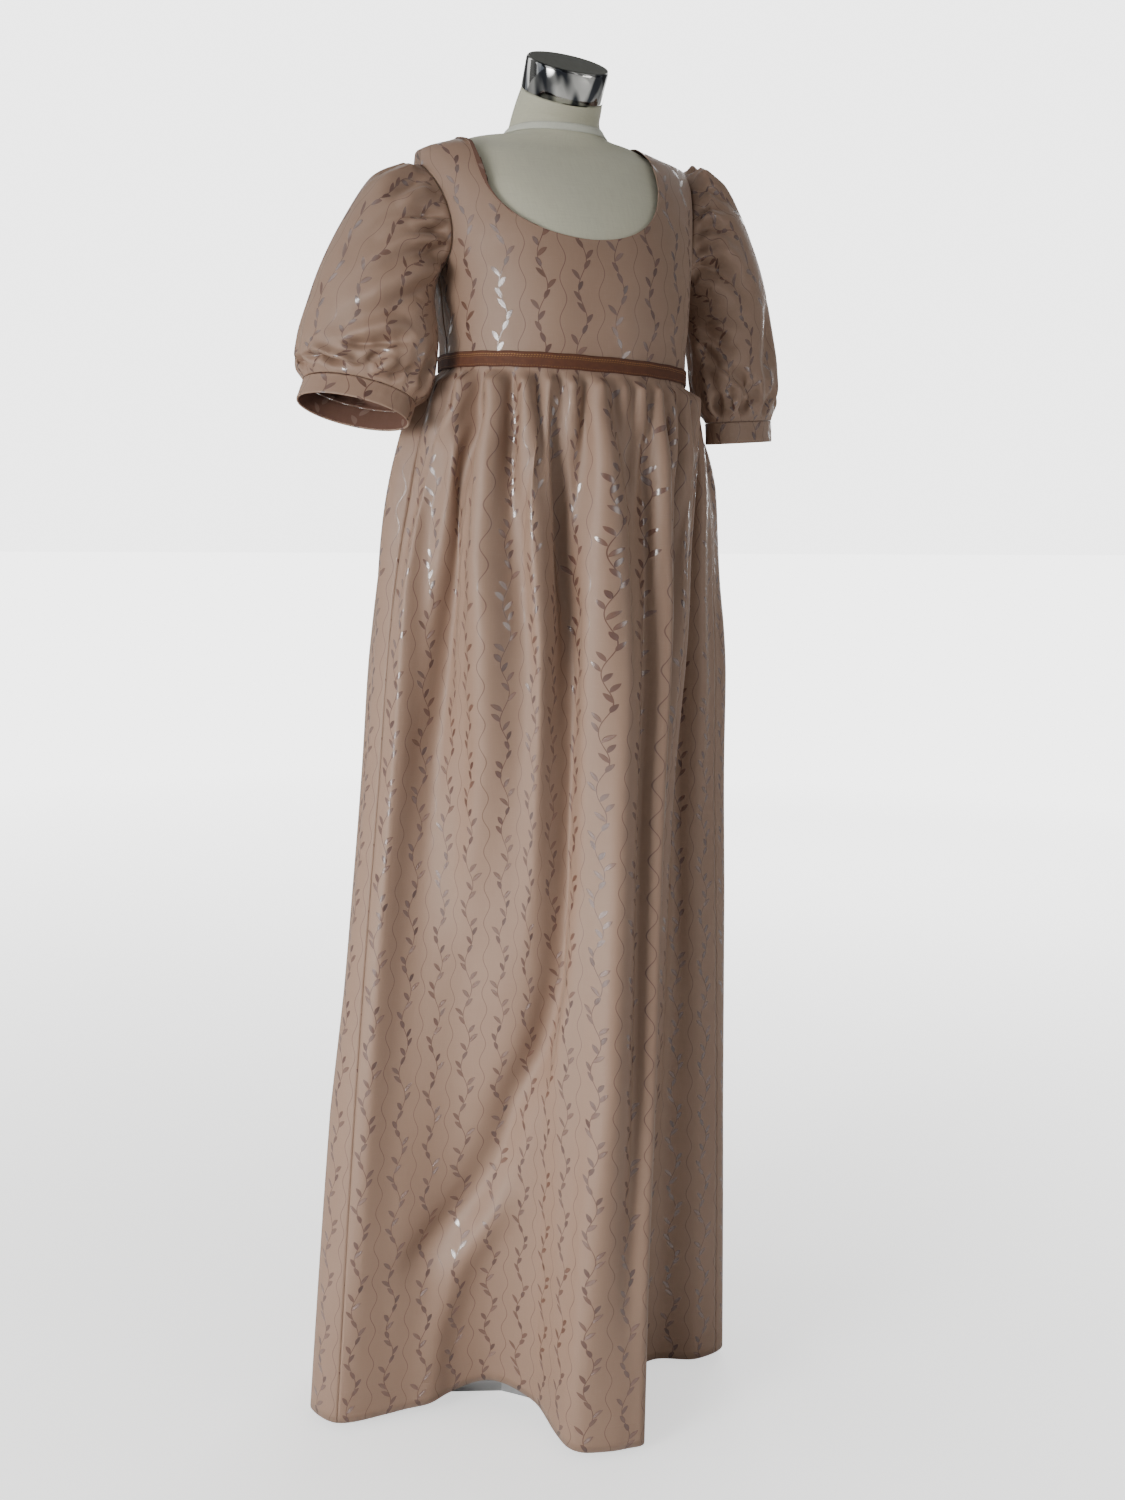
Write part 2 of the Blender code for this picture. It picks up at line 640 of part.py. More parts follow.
def bodice_rows(shares, side, reach, bottom, behind, shift, out):
    """Rows of a bodice panel, from the waist up. Each share may be negative for the -X half."""
    rows = []
    for rise in BODICE_RISES:
        row = []
        for share in shares:
            sign = side * (1.0 if share >= 0.0 else -1.0)
            angle, height = bodice_place(abs(share), rise, reach, bottom)
            degrees = sign * (180.0 - angle if behind else angle)
            lean = (waist_height(degrees) - WAIST_HEIGHT) * (1.0 - rise)
            row.append(body_point(BODICE_SECTIONS, degrees, height + lean, out) + shift)
        rows.append(row)
    return rows


def build_bodice():
    half = [i / BODICE_COLUMNS for i in range(BODICE_COLUMNS + 1)]
    gap = SEAM_GAP / 2.0
    front = [-share for share in half[:0:-1]] + half
    panels = (
        ("bodice_front", front, 1.0, ARMHOLE_REACH_FRONT, NECKLINE_BOTTOM, False, (0.0, -gap)),
        ("bodice_back_left", half[::-1], 1.0, ARMHOLE_REACH_BACK, BACK_NECK_BOTTOM, True,
         (gap, gap)),
        ("bodice_back_right", half, -1.0, ARMHOLE_REACH_BACK, BACK_NECK_BOTTOM, True,
         (-gap, gap)),
    )
    for name, shares, side, reach, bottom, behind, shift in panels:
        moved = Vector((*shift, 0.0))
        outer, inner = (bodice_rows(shares, side, reach, bottom, behind, moved, out)
                        for out in (0.0, -CLOTH))
        wall(name, outer, inner)


def build_sleeves():
    turns = [360.0 * i / SLEEVE_COLUMNS for i in range(SLEEVE_COLUMNS)]
    for hang in rows_of(HANG_COLUMNS, SLEEVE_HANGS):
        rows = [[sleeve_point(hang, step / SLEEVE_STEPS, turn) for turn in turns]
                for step in range(SLEEVE_STEPS + 1)]
        cloth("sleeve_" + hang["name"], rows, closed=True, flip=hang["side"] < 0.0)
        cuff = []
        for drop in (SEAM_GAP, CUFF_HEIGHT / 2.0, CUFF_HEIGHT):
            ring = [sleeve_ring(hang, 1.0, turn) for turn in turns]
            cuff.append([point + down * drop for point, down in ring])
        cloth("cuff_" + hang["name"], cuff, thickness=CUFF_THICKNESS, closed=True,
              flip=hang["side"] < 0.0)


def build_ribbon():
    out = RIBBON_LIFT + RIBBON_THICKNESS
    section = section_at(BODICE_SECTIONS, WAIST_HEIGHT)
    first, last = RIBBON_SPLIT_DEG - 180.0, 180.0 - RIBBON_SPLIT_DEG
    rows = []
    for rise in (-RIBBON_WIDTH / 2.0, RIBBON_WIDTH / 2.0):
        row = []
        for i in range(RIBBON_COLUMNS + 1):
            degrees = first + (last - first) * i / RIBBON_COLUMNS
            point = section_point(section, degrees)
            ahead = (section_point(section, degrees + BODY_STEP_DEG)
                     - section_point(section, degrees - BODY_STEP_DEG))
            point += Vector((ahead.y, -ahead.x, 0.0)).normalized() * out
            point.z = waist_height(degrees) + rise
            row.append(point)
        rows.append(row)
    cloth("waist_ribbon", rows, "ribbon", RIBBON_THICKNESS)


def build_skirt():
    setup = skirt_setup()
    right_seam = place_of_angle(setup, -90.0)
    left_seam = place_of_angle(setup, 90.0)
    whole = setup["knots"][-1]
    gap = SEAM_GAP / 2.0
    panels = (("skirt_front", right_seam + gap, left_seam - gap),
              ("skirt_back", left_seam + gap, right_seam + whole - gap))
    for name, start, end in panels:
        places = [start + (end - start) * i / SKIRT_COLUMNS for i in range(SKIRT_COLUMNS + 1)]
        outer, inner = ([[skirt_point(setup, place, drop, out) for place in places]
                         for drop in SKIRT_DROPS[::-1]] for out in (0.0, -CLOTH))
        wall(name, outer, inner)


def build_form():
    turns = [360.0 * i / FORM_SIDES for i in range(FORM_SIDES)]
    rings = [[section_point(section_at(FORM_SECTIONS, row[0]), turn) for turn in turns]
             for row in FORM_SECTIONS]
    for ring in rows_of(NECK_COLUMNS, NECK_RINGS):
        rings.append([tilted_point(ring["y"], ring["height"], ring["radius"], ring["tilt"], turn)
                      for turn in turns])
    solid("form_torso", rings, "form_linen")
    tape = [[body_point(FORM_SECTIONS, turn, height, TAPE_LIFT + TAPE_THICKNESS) for turn in turns]
            for height in (TAPE_LOW, (TAPE_LOW + TAPE_HIGH) / 2.0, TAPE_HIGH)]
    cloth("neck_tape", tape, "neck_tape", TAPE_THICKNESS, closed=True)
    build_cap(turns)


def tilted_point(y, height, radius, tilt, turn):
    """A point of a round section of the neck, whose axis leans forward by the tilt."""
    lean, angle = math.radians(tilt), math.radians(turn)
    across, ahead = radius * math.sin(angle), radius * math.cos(angle)
    return Vector((AXIS_X + across, AXIS_Y + y - ahead * math.cos(lean),
                   height - ahead * math.sin(lean)))


def build_cap(turns):
    lean = math.radians(CAP_TILT)
    profile = ((0.0003, CAP_RADIUS - 0.001), (0.0015, CAP_RADIUS), (CAP_LENGTH - 0.004, CAP_RADIUS),
               (CAP_LENGTH - 0.001, CAP_RADIUS - 0.0012), (CAP_LENGTH, CAP_RADIUS - 0.0045))
    rings = []
    for rise, radius in profile:
        y = CAP_FOOT_Y - rise * math.sin(lean)
        height = CAP_FOOT_HEIGHT + rise * math.cos(lean)
        rings.append([tilted_point(y, height, radius, CAP_TILT, turn) for turn in turns])
    solid("neck_cap", rings, "chrome")


def round_rings(profile, count):
    turns = [2.0 * math.pi * i / count for i in range(count)]
    return [[Vector((AXIS_X + radius * math.sin(turn), AXIS_Y + POLE_Y - radius * math.cos(turn),
                     height)) for turn in turns] for height, radius in profile]


def build_stand():
    foot_top = FOOT_THICKNESS + SEAM_GAP
    torso_bottom = FORM_SECTIONS[0][0] - SEAM_GAP
    solid("stand_pole", round_rings((
        (foot_top, COLLAR_RADIUS), (foot_top + COLLAR_HEIGHT, COLLAR_RADIUS),
        (foot_top + COLLAR_HEIGHT + COLLAR_CONE, POLE_RADIUS), (torso_bottom, POLE_RADIUS)),
        POLE_SIDES), "stand_steel")
    outline = []
    for degrees in LEG_DEGREES:
        middle = math.radians(degrees)
        ahead = Vector((math.sin(middle), -math.cos(middle), 0.0))
        aside = Vector((math.cos(middle), math.sin(middle), 0.0))
        half = LEG_WIDTH / 2.0
        outline.append(ahead * HUB_RADIUS - aside * (half + LEG_FLARE))
        for step in range(LEG_END_STEPS + 1):
            turn = math.pi * step / LEG_END_STEPS - math.pi / 2.0
            outline.append(ahead * (LEG_LENGTH - half + half * math.cos(turn))
                           + aside * half * math.sin(turn))
        outline.append(ahead * HUB_RADIUS + aside * (half + LEG_FLARE))
    centre = Vector((AXIS_X, AXIS_Y + POLE_Y, 0.0))
    rings = []
    for height, shrink in ((0.0, 1.0), (FOOT_THICKNESS - FOOT_BEVEL, 1.0),
                           (FOOT_THICKNESS, FOOT_TOP_SHRINK)):
        rings.append([centre + point * shrink + Vector((0.0, 0.0, height)) for point in outline])
    solid("stand_base", rings, "stand_steel")


def main():
    for old in list(bpy.data.objects):
        bpy.data.objects.remove(old, do_unlink=True)
    build_form()
    build_stand()
    build_bodice()
    build_sleeves()
    build_ribbon()
    build_skirt()


main()
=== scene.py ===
# Regency gown on a limbless dress form: the finished cloth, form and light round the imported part.
import math

import bmesh
import bpy
import numpy as np
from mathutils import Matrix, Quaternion, Vector


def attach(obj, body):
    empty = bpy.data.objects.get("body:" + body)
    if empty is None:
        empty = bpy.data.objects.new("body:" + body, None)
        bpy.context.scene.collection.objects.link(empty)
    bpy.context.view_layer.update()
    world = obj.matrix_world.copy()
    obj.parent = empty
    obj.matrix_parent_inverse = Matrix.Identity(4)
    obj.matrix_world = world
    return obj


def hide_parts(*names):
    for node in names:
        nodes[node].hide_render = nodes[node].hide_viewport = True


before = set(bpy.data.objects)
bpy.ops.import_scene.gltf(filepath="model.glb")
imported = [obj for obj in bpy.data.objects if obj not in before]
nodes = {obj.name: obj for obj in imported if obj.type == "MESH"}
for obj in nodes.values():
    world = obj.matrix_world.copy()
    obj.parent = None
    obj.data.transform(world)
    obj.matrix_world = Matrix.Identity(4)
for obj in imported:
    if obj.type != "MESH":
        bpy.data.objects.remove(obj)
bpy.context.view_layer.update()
print("frame loaded")


def smoothstep(value):
    value = min(max(value, 0.0), 1.0)
    return value * value * (3.0 - 2.0 * value)


def hump(place, start, full, end):
    rise = smoothstep((place - start) / (full - start))
    return rise * (1.0 - smoothstep((place - full) / (end - full)))


def along(knots, values, place):
    # smooth curve through rising knots, flat at turning points
    last = len(knots) - 1
    place = min(max(place, knots[0]), knots[last])
    index = max(i for i in range(last) if knots[i] <= place or i == 0)
    slopes = [(values[i + 1] - values[i]) / (knots[i + 1] - knots[i]) for i in range(last)]

    def tangent(i):
        if i == 0 or i == last:
            return slopes[min(i, last - 1)]
        before, after = slopes[i - 1], slopes[i]
        return 0.0 if before * after <= 0.0 else 2.0 * before * after / (before + after)

    step = knots[index + 1] - knots[index]
    t = (place - knots[index]) / step
    blend = t * t * (3.0 - 2.0 * t)
    start = (t - 2.0 * t * t + t ** 3) * step * tangent(index)
    end = (t ** 3 - t * t) * step * tangent(index + 1)
    return values[index] * (1.0 - blend) + values[index + 1] * blend + start + end


def roundCurve(knots, values, place):
    # smooth closed curve; the last knot repeats the first
    count = len(knots) - 1
    span = knots[count] - knots[0]
    turn = values[count] - values[0]
    place = knots[0] + (place - knots[0]) % span
    index = max(i for i in range(count) if knots[i] <= place)

    def knot(i):
        return knots[i % count] + span * (i // count)

    def value(i):
        return values[i % count] + turn * (i // count)

    def tangent(i):
        before = (value(i) - value(i - 1)) / (knot(i) - knot(i - 1))
        after = (value(i + 1) - value(i)) / (knot(i + 1) - knot(i))
        left, right = knot(i) - knot(i - 1), knot(i + 1) - knot(i)
        return (before * right + after * left) / (left + right)

    step = knots[index + 1] - knots[index]
    t = (place - knots[index]) / step
    blend = t * t * (3.0 - 2.0 * t)
    start = (t - 2.0 * t * t + t ** 3) * step * tangent(index)
    end = (t ** 3 - t * t) * step * tangent(index + 1)
    return values[index] * (1.0 - blend) + values[index + 1] * blend + start + end


def surfaceGrid(columns, rows, place):
    # points of a surface, one row of columns for each step up
    points = [[place(c / columns, r / rows) for c in range(columns + 1)] for r in range(rows + 1)]
    return np.array(points, float)


def gridNormals(points, closed):
    if closed:
        ring = points[:, :-1]
        across = np.roll(ring, -1, axis=1) - np.roll(ring, 1, axis=1)
        across = np.concatenate([across, across[:, :1]], axis=1)
    else:
        across = np.gradient(points, axis=1)
    normals = np.cross(across, np.gradient(points, axis=0))
    return normals / np.maximum(np.linalg.norm(normals, axis=2, keepdims=True), 1e-9)


def foldField(folds, across, down, period=None):
    # soft ridges and troughs, given one by one: each fold is a track of knots, in millimetres of cloth
    # across and down, with its half width and its height there
    field = np.zeros(across.shape)
    for track in folds:
        knots = np.array(track, float) / 1000.0
        for shift in ((0.0,) if period is None else (-period, 0.0, period)):
            nearest = np.full(across.shape, 9.0)
            width, height = np.ones(across.shape), np.zeros(across.shape)
            for start, end in zip(knots, knots[1:]):
                run = end[:2] - start[:2]
                x, y = across + shift - start[0], down - start[1]
                t = np.clip((x * run[0] + y * run[1]) / (run @ run), 0.0, 1.0)
                away = np.hypot(x - t * run[0], y - t * run[1])
                closer = away < nearest
                nearest = np.where(closer, away, nearest)
                width = np.where(closer, start[2] + (end[2] - start[2]) * t, width)
                height = np.where(closer, start[3] + (end[3] - start[3]) * t, height)
            field += height * np.exp(-(nearest / width) ** 2)
    return field


def newObject(name, data):
    made = bpy.data.objects.new(name, data)
    bpy.context.scene.collection.objects.link(made)
    return made


def finishMesh(name, mesh):
    made = bpy.data.meshes.new(name)
    mesh.to_mesh(made)
    mesh.free()
    return made


def addPiece(name, mesh, finish, stoodFor):
    made = finishMesh(name, mesh)
    for slotFinish in (finish if isinstance(finish, tuple) else (finish,)):
        made.materials.append(slotFinish)
    made.shade_smooth()
    piece = newObject(name, made)
    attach(piece, "root")
    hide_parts(stoodFor)
    return piece


def gridMesh(points, uvs, closed=False, flip=False):
    # a bmesh grid laid on the points, with its cloth measures as UVs
    rows, columns = points.shape[0] - 1, points.shape[1] - 1
    mesh = bmesh.new()
    layer = mesh.loops.layers.uv.new("clothMeasure")
    bmesh.ops.create_grid(mesh, x_segments=columns, y_segments=rows, size=1.0, calc_uvs=True)
    flat = points.reshape(-1, 3)
    measures = uvs.reshape(-1, 2)
    mesh.verts.ensure_lookup_table()
    for vert in mesh.verts:
        vert.co = flat[vert.index]
    for face in mesh.faces:
        for loop in face.loops:
            loop[layer].uv = measures[loop.vert.index]
    if closed:
        seam = [vert for vert in mesh.verts if vert.index % (columns + 1) in (0, columns)]
        bmesh.ops.remove_doubles(mesh, verts=seam, dist=1e-6)
    if flip:
        bmesh.ops.reverse_faces(mesh, faces=mesh.faces[:])
    return mesh


def addWall(piece, thickness):
    wall = piece.modifiers.new("clothWall", "SOLIDIFY")
    wall.thickness = thickness
    wall.offset = -1.0
    wall.material_offset = len(piece.data.materials) - 1   # the inner side shows the cloth's back
    return piece


class Nodes:
    # short ways to place and join shader nodes in one tree
    def __init__(self, tree):
        self.tree = tree

    def add(self, kind, **settings):
        node = self.tree.nodes.new(kind)
        for key, value in settings.items():
            setattr(node, key, value)
        return node

    def join(self, source, socket):
        if isinstance(source, bpy.types.NodeSocket):
            self.tree.links.new(source, socket)
        else:
            socket.default_value = source

    def math(self, operation, first, second=0.0, third=0.0, clamp=False):
        node = self.add("ShaderNodeMath", operation=operation, use_clamp=clamp)
        for socket, value in zip(node.inputs, (first, second, third)):
            self.join(value, socket)
        return node.outputs[0]

    def mix(self, factor, first, second):
        node = self.add("ShaderNodeMix", data_type="RGBA")
        self.join(factor, node.inputs["Factor"])
        self.join(first, node.inputs["A"])
        self.join(second, node.inputs["B"])
        return node.outputs["Result"]

    def mixValue(self, factor, first, second):
        node = self.add("ShaderNodeMix", data_type="FLOAT")
        self.join(factor, node.inputs["Factor"])
        self.join(first, node.inputs["A"])
        self.join(second, node.inputs["B"])
        return node.outputs["Result"]

    def noise(self, vector, scale, detail=2.0):
        node = self.add("ShaderNodeTexNoise")
        self.join(vector, node.inputs["Vector"])
        node.inputs["Scale"].default_value = scale
        node.inputs["Detail"].default_value = detail
        return node.outputs["Fac"]

    def wave(self, place, length):
        return self.math("SINE", self.math("MULTIPLY", place, 2.0 * math.pi / length))

    def split(self, vector):
        node = self.add("ShaderNodeSeparateXYZ")
        self.join(vector, node.inputs[0])
        return node.outputs

    def scaled(self, vector, size):
        node = self.add("ShaderNodeMapping")
        self.join(vector, node.inputs["Vector"])
        node.inputs["Scale"].default_value = size
        return node.outputs["Vector"]

    def bump(self, height, shader):
        # height in metres
        node = self.add("ShaderNodeBump")
        node.inputs["Distance"].default_value = 1.0
        self.join(height, node.inputs["Height"])
        self.join(node.outputs["Normal"], shader.inputs["Normal"])


def newGroup(name, inputs, outputs):
    group = bpy.data.node_groups.new(name, "ShaderNodeTree")
    for label, kind, value in inputs:
        socket = group.interface.new_socket(label, in_out="INPUT", socket_type=kind)
        if value is not None:
            socket.default_value = value
    for label, kind in outputs:
        group.interface.new_socket(label, in_out="OUTPUT", socket_type=kind)
    build = Nodes(group)
    return group, build, build.add("NodeGroupInput").outputs, build.add("NodeGroupOutput").inputs


def newMaterial(name):
    made = bpy.data.materials.new(name)
    made.use_nodes = True
    build = Nodes(made.node_tree)
    return made, build, made.node_tree.nodes["Principled BSDF"]


def placeGroup(build, group, **values):
    node = build.add("ShaderNodeGroup", node_tree=group)
    for label, value in values.items():
        build.join(value, node.inputs[label])
    return node.outputs


vine = {
    "pitch": 0.042,         # from one leafy stem to the next
    "stemSwing": 0.0048,
    "stemLength": 0.0640,   # one wave of the stem
    "halfDrop": 0.0330,     # every second stem starts this much higher
    "leafStep": 0.0110,
    "leafLength": 0.0132,
    "leafWidth": 0.0050,
    "leafAngle": 36.0,
    "leafLean": 0.9,
    "lineSwing": 0.0034,
    "lineLength": 0.0430,
    "lineDrop": 0.0137,     # each plain line starts this much higher than the one before
    "lineWidth": 0.0012,
    "lineSoft": 0.00035,
    "leafSoft": 0.0003,
    "leafCurve": 0.0009,
    "strand": 0.0008,       # from one strand of a leaf to the next
    "strandRise": 0.00007,
}


def buildVineGroup():
    # leafy stems with a plain wavy line midway, in metres of cloth
    group, build, given, result = newGroup(
        "wovenVine", [("Measure", "NodeSocketVector", None)],
        [("Leaf", "NodeSocketFloat"), ("Line", "NodeSocketFloat"), ("Strands", "NodeSocketFloat"),
         ("Chance", "NodeSocketFloat")])
    m = build.math
    across, up, _ = build.split(given["Measure"])

    def swing(place, length, reach):
        return m("MULTIPLY", build.wave(place, length), reach)

    def thinLine(distance):
        inside = m("SUBTRACT", vine["lineWidth"] / 2.0, m("ABSOLUTE", distance))
        return m("DIVIDE", inside, vine["lineSoft"], clamp=True)

    cell = m("DIVIDE", across, vine["pitch"])
    stripe = m("FLOOR", cell)
    fromStem = m("MULTIPLY", m("SUBTRACT", m("SUBTRACT", cell, stripe), 0.5), vine["pitch"])
    odd = m("FLOORED_MODULO", stripe, 2.0)
    height = m("MULTIPLY_ADD", odd, vine["halfDrop"], up)
    number = m("FLOOR", m("DIVIDE", height, vine["leafStep"]))
    foot = m("MULTIPLY", number, vine["leafStep"])
    order = m("FLOORED_MODULO", number, 6.0)
    firstPair = m("LESS_THAN", order, 1.5)
    single = m("MULTIPLY", m("GREATER_THAN", order, 3.5), m("LESS_THAN", order, 4.5))
    side = m("MULTIPLY_ADD", m("ADD", firstPair, single), 2.0, -1.0)
    outwards = m("SUBTRACT", fromStem, swing(foot, vine["stemLength"], vine["stemSwing"]))
    outwards = m("MULTIPLY", outwards, side)
    upwards = m("SUBTRACT", height, foot)
    pair = build.add("ShaderNodeCombineXYZ")
    build.join(number, pair.inputs[0])
    build.join(stripe, pair.inputs[1])
    dice = build.add("ShaderNodeTexWhiteNoise", noise_dimensions="2D")
    build.join(pair.outputs[0], dice.inputs["Vector"])
    chance = dice.outputs["Value"]
    angle = m("MULTIPLY_ADD", m("SUBTRACT", chance, 0.5), 0.42, math.radians(vine["leafAngle"]))
    sine, cosine = m("SINE", angle), m("COSINE", angle)
    length = m("ADD", m("MULTIPLY", outwards, sine), m("MULTIPLY", upwards, cosine))
    offset = m("SUBTRACT", m("MULTIPLY", outwards, cosine), m("MULTIPLY", upwards, sine))
    reach = m("MULTIPLY_ADD", chance, 0.30, 0.82)
    whole = m("MULTIPLY", reach, vine["leafLength"])
    along = m("DIVIDE", m("SUBTRACT", length, 0.0002), whole, clamp=True)
    belly = m("MULTIPLY", m("MULTIPLY", along, m("SUBTRACT", 1.0, along)), 4.0)
    belly = m("POWER", belly, 0.75)
    offset = m("ADD", offset, m("MULTIPLY", m("SUBTRACT", belly, 0.5), vine["leafCurve"]))
    halfWidth = m("MULTIPLY", belly, vine["leafWidth"] / 2.0)
    leaf = m("DIVIDE", m("SUBTRACT", halfWidth, m("ABSOLUTE", offset)), vine["leafSoft"], clamp=True)
    # a leaf leans to one side and is made of strands that run along it
    lean = m("MULTIPLY", m("SUBTRACT", chance, 0.45), m("MULTIPLY", offset, vine["leafLean"]))
    threads = m("MULTIPLY", build.wave(offset, vine["strand"]), vine["strandRise"])
    strands = m("MULTIPLY", leaf, m("ADD", lean, threads))
    stem = swing(height, vine["stemLength"], vine["stemSwing"])
    stem = thinLine(m("SUBTRACT", fromStem, stem))
    between = m("ADD", cell, 0.5)
    fromLine = m("MULTIPLY", m("SUBTRACT", m("SUBTRACT", between, m("FLOOR", between)), 0.5),
                 vine["pitch"])
    lineHeight = m("MULTIPLY_ADD", m("FLOOR", between), vine["lineDrop"], up)
    plain = swing(lineHeight, vine["lineLength"], vine["lineSwing"])
    plain = thinLine(m("SUBTRACT", fromLine, plain))
    build.join(leaf, result["Leaf"])
    build.join(m("MAXIMUM", stem, m("MULTIPLY", plain, 0.75)), result["Line"])
    build.join(strands, result["Strands"])
    build.join(chance, result["Chance"])
    return group


def buildWeaveGroup():
    # fine crossed threads with slubs, in metres of cloth
    group, build, given, result = newGroup(
        "wovenThreads", [("Measure", "NodeSocketVector", None), ("Threads", "NodeSocketFloat", 1800.0)],
        [("Height", "NodeSocketFloat"), ("Slub", "NodeSocketFloat")])
    m = build.math
    across, up, _ = build.split(given["Measure"])
    turn = m("MULTIPLY", given["Threads"], 2.0 * math.pi)
    warp, weft = m("SINE", m("MULTIPLY", across, turn)), m("SINE", m("MULTIPLY", up, turn))
    slubAcross = build.noise(build.scaled(given["Measure"], (60.0, 900.0, 1.0)), 1.0)
    slubUp = build.noise(build.scaled(given["Measure"], (900.0, 60.0, 1.0)), 1.0)
    build.join(m("MULTIPLY_ADD", m("MULTIPLY", warp, weft), 0.5, 0.5), result["Height"])
    build.join(m("MULTIPLY", m("ADD", slubAcross, slubUp), 0.5), result["Slub"])
    return group


def buildCrumpleGroup():
    # the soft small dents that light shows in thin satin
    group, build, given, result = newGroup(
        "softDents", [("Measure", "NodeSocketVector", None)], [("Height", "NodeSocketFloat")])
    broad = build.noise(build.scaled(given["Measure"], (40.0, 14.0, 1.0)), 1.0, 2.0)
    small = build.noise(build.scaled(given["Measure"], (130.0, 80.0, 1.0)), 1.0, 3.0)
    build.join(build.math("MULTIPLY_ADD", small, 0.4, broad), result["Height"])
    return group


vineGroup = buildVineGroup()
weaveGroup = buildWeaveGroup()
dentGroup = buildCrumpleGroup()

jacquard = {
    "ground": (0.280, 0.184, 0.133, 1.0),
    "groundDeep": (0.246, 0.152, 0.106, 1.0),
    "slub": (0.340, 0.232, 0.175, 1.0),
    "leafDark": (0.082, 0.030, 0.020, 1.0),
    "leafSoft": (0.158, 0.076, 0.050, 1.0),
    "line": (0.090, 0.037, 0.025, 1.0),
    "roughness": 0.56,
    "leafRoughness": 0.40,
    "weaveDepth": 0.00003,
    "leafRise": 0.00010,
    "dentDepth": 0.0005,
    "lineRise": 0.00006,
    "threads": 1500.0,      # to a metre
    "specular": 0.45,
    "silkRoughness": 0.24,
    "silkIor": 1.82,
    "sheen": 0.16,
    "sheenRoughness": 0.35,
    "sheenTint": (0.95, 0.88, 0.84, 1.0),
    "backDark": (0.105, 0.046, 0.030, 1.0),
    "backLight": (0.150, 0.075, 0.052, 1.0),
    "backLeaf": (0.24, 0.16, 0.13, 1.0),
    "hemAt": 0.030,
    "hemStitch": 0.006,
}


def buildJacquard(name, hemmed):
    made, build, shader = newMaterial(name)
    m = build.math
    measure = build.add("ShaderNodeTexCoord").outputs["UV"]
    pattern = placeGroup(build, vineGroup, Measure=measure)
    weave = placeGroup(build, weaveGroup, Measure=measure, Threads=jacquard["threads"])
    dents = placeGroup(build, dentGroup, Measure=measure)
    tone = build.noise(build.scaled(measure, (9.0, 5.0, 1.0)), 1.0, 3.0)
    ground = build.mix(tone, jacquard["groundDeep"], jacquard["ground"])
    ground = build.mix(m("MULTIPLY", m("SUBTRACT", weave["Slub"], 0.5), 1.2, clamp=True),
                       ground, jacquard["slub"])
    colour = build.mix(m("MULTIPLY", pattern["Line"], 0.95), ground, jacquard["line"])
    leaf = build.mix(pattern["Chance"], jacquard["leafDark"], jacquard["leafSoft"])
    build.join(build.mix(pattern["Leaf"], colour, leaf), shader.inputs["Base Color"])
    build.join(build.mixValue(pattern["Leaf"], jacquard["roughness"], jacquard["leafRoughness"]),
               shader.inputs["Roughness"])
    # only the floats of the pattern shine like silk
    build.join(m("MAXIMUM", pattern["Leaf"], m("MULTIPLY", pattern["Line"], 0.5)),
               shader.inputs["Coat Weight"])
    for socket, setting in (("Coat Roughness", "silkRoughness"), ("Coat IOR", "silkIor"),
                            ("Specular IOR Level", "specular"), ("Sheen Weight", "sheen"),
                            ("Sheen Roughness", "sheenRoughness"), ("Sheen Tint", "sheenTint")):
        shader.inputs[socket].default_value = jacquard[setting]
    height = m("MULTIPLY", weave["Height"], jacquard["weaveDepth"])
    height = m("MULTIPLY_ADD", pattern["Leaf"], jacquard["leafRise"], height)
    height = m("ADD", pattern["Strands"], height)
    height = m("MULTIPLY_ADD", pattern["Line"], jacquard["lineRise"], height)
    height = m("MULTIPLY_ADD", dents["Height"], jacquard["dentDepth"], height)
    if hemmed:
        across, up, _ = build.split(measure)
        fromHem = m("ABSOLUTE", m("SUBTRACT", up, jacquard["hemAt"]))
        groove = m("DIVIDE", m("SUBTRACT", 0.0009, fromHem), 0.0006, clamp=True)
        stitch = m("GREATER_THAN", build.wave(across, jacquard["hemStitch"]), -0.3)
        height = m("MULTIPLY_ADD", m("MULTIPLY", groove, stitch), -0.00015, height)
    build.bump(height, shader)
    return made


def buildClothBack():
    # the wrong side: dull red brown with the pattern faint
    made, build, shader = newMaterial("jacquardBack")
    measure = build.add("ShaderNodeTexCoord").outputs["UV"]
    pattern = placeGroup(build, vineGroup, Measure=measure)
    weave = placeGroup(build, weaveGroup, Measure=measure, Threads=jacquard["threads"])
    ground = build.mix(weave["Slub"], jacquard["backDark"], jacquard["backLight"])
    faintLeaf = build.math("MULTIPLY", pattern["Leaf"], 0.5)
    build.join(build.mix(faintLeaf, ground, jacquard["backLeaf"]), shader.inputs["Base Color"])
    build.join(build.mixValue(pattern["Leaf"], 0.75, 0.55), shader.inputs["Roughness"])
    build.bump(build.math("MULTIPLY", weave["Height"], 0.00004), shader)
    return made


clothBack = buildClothBack()
gownCloth = (buildJacquard("leafJacquard", False), clothBack)
skirtCloth = (buildJacquard("leafJacquardHemmed", True), clothBack)

ribbonFinish = {
    "ground": (0.180, 0.062, 0.024, 1.0),
    "dark": (0.060, 0.020, 0.010, 1.0),
    "gold": (0.400, 0.200, 0.070, 1.0),
    "dotStep": 0.0030,
    # height over the ribbon, half width, phase of the dots, strength
    "goldLines": ((0.80, 0.035, 0.0, 1.0), (0.68, 0.025, 1.6, 1.0), (0.14, 0.025, 0.8, 0.6)),
}


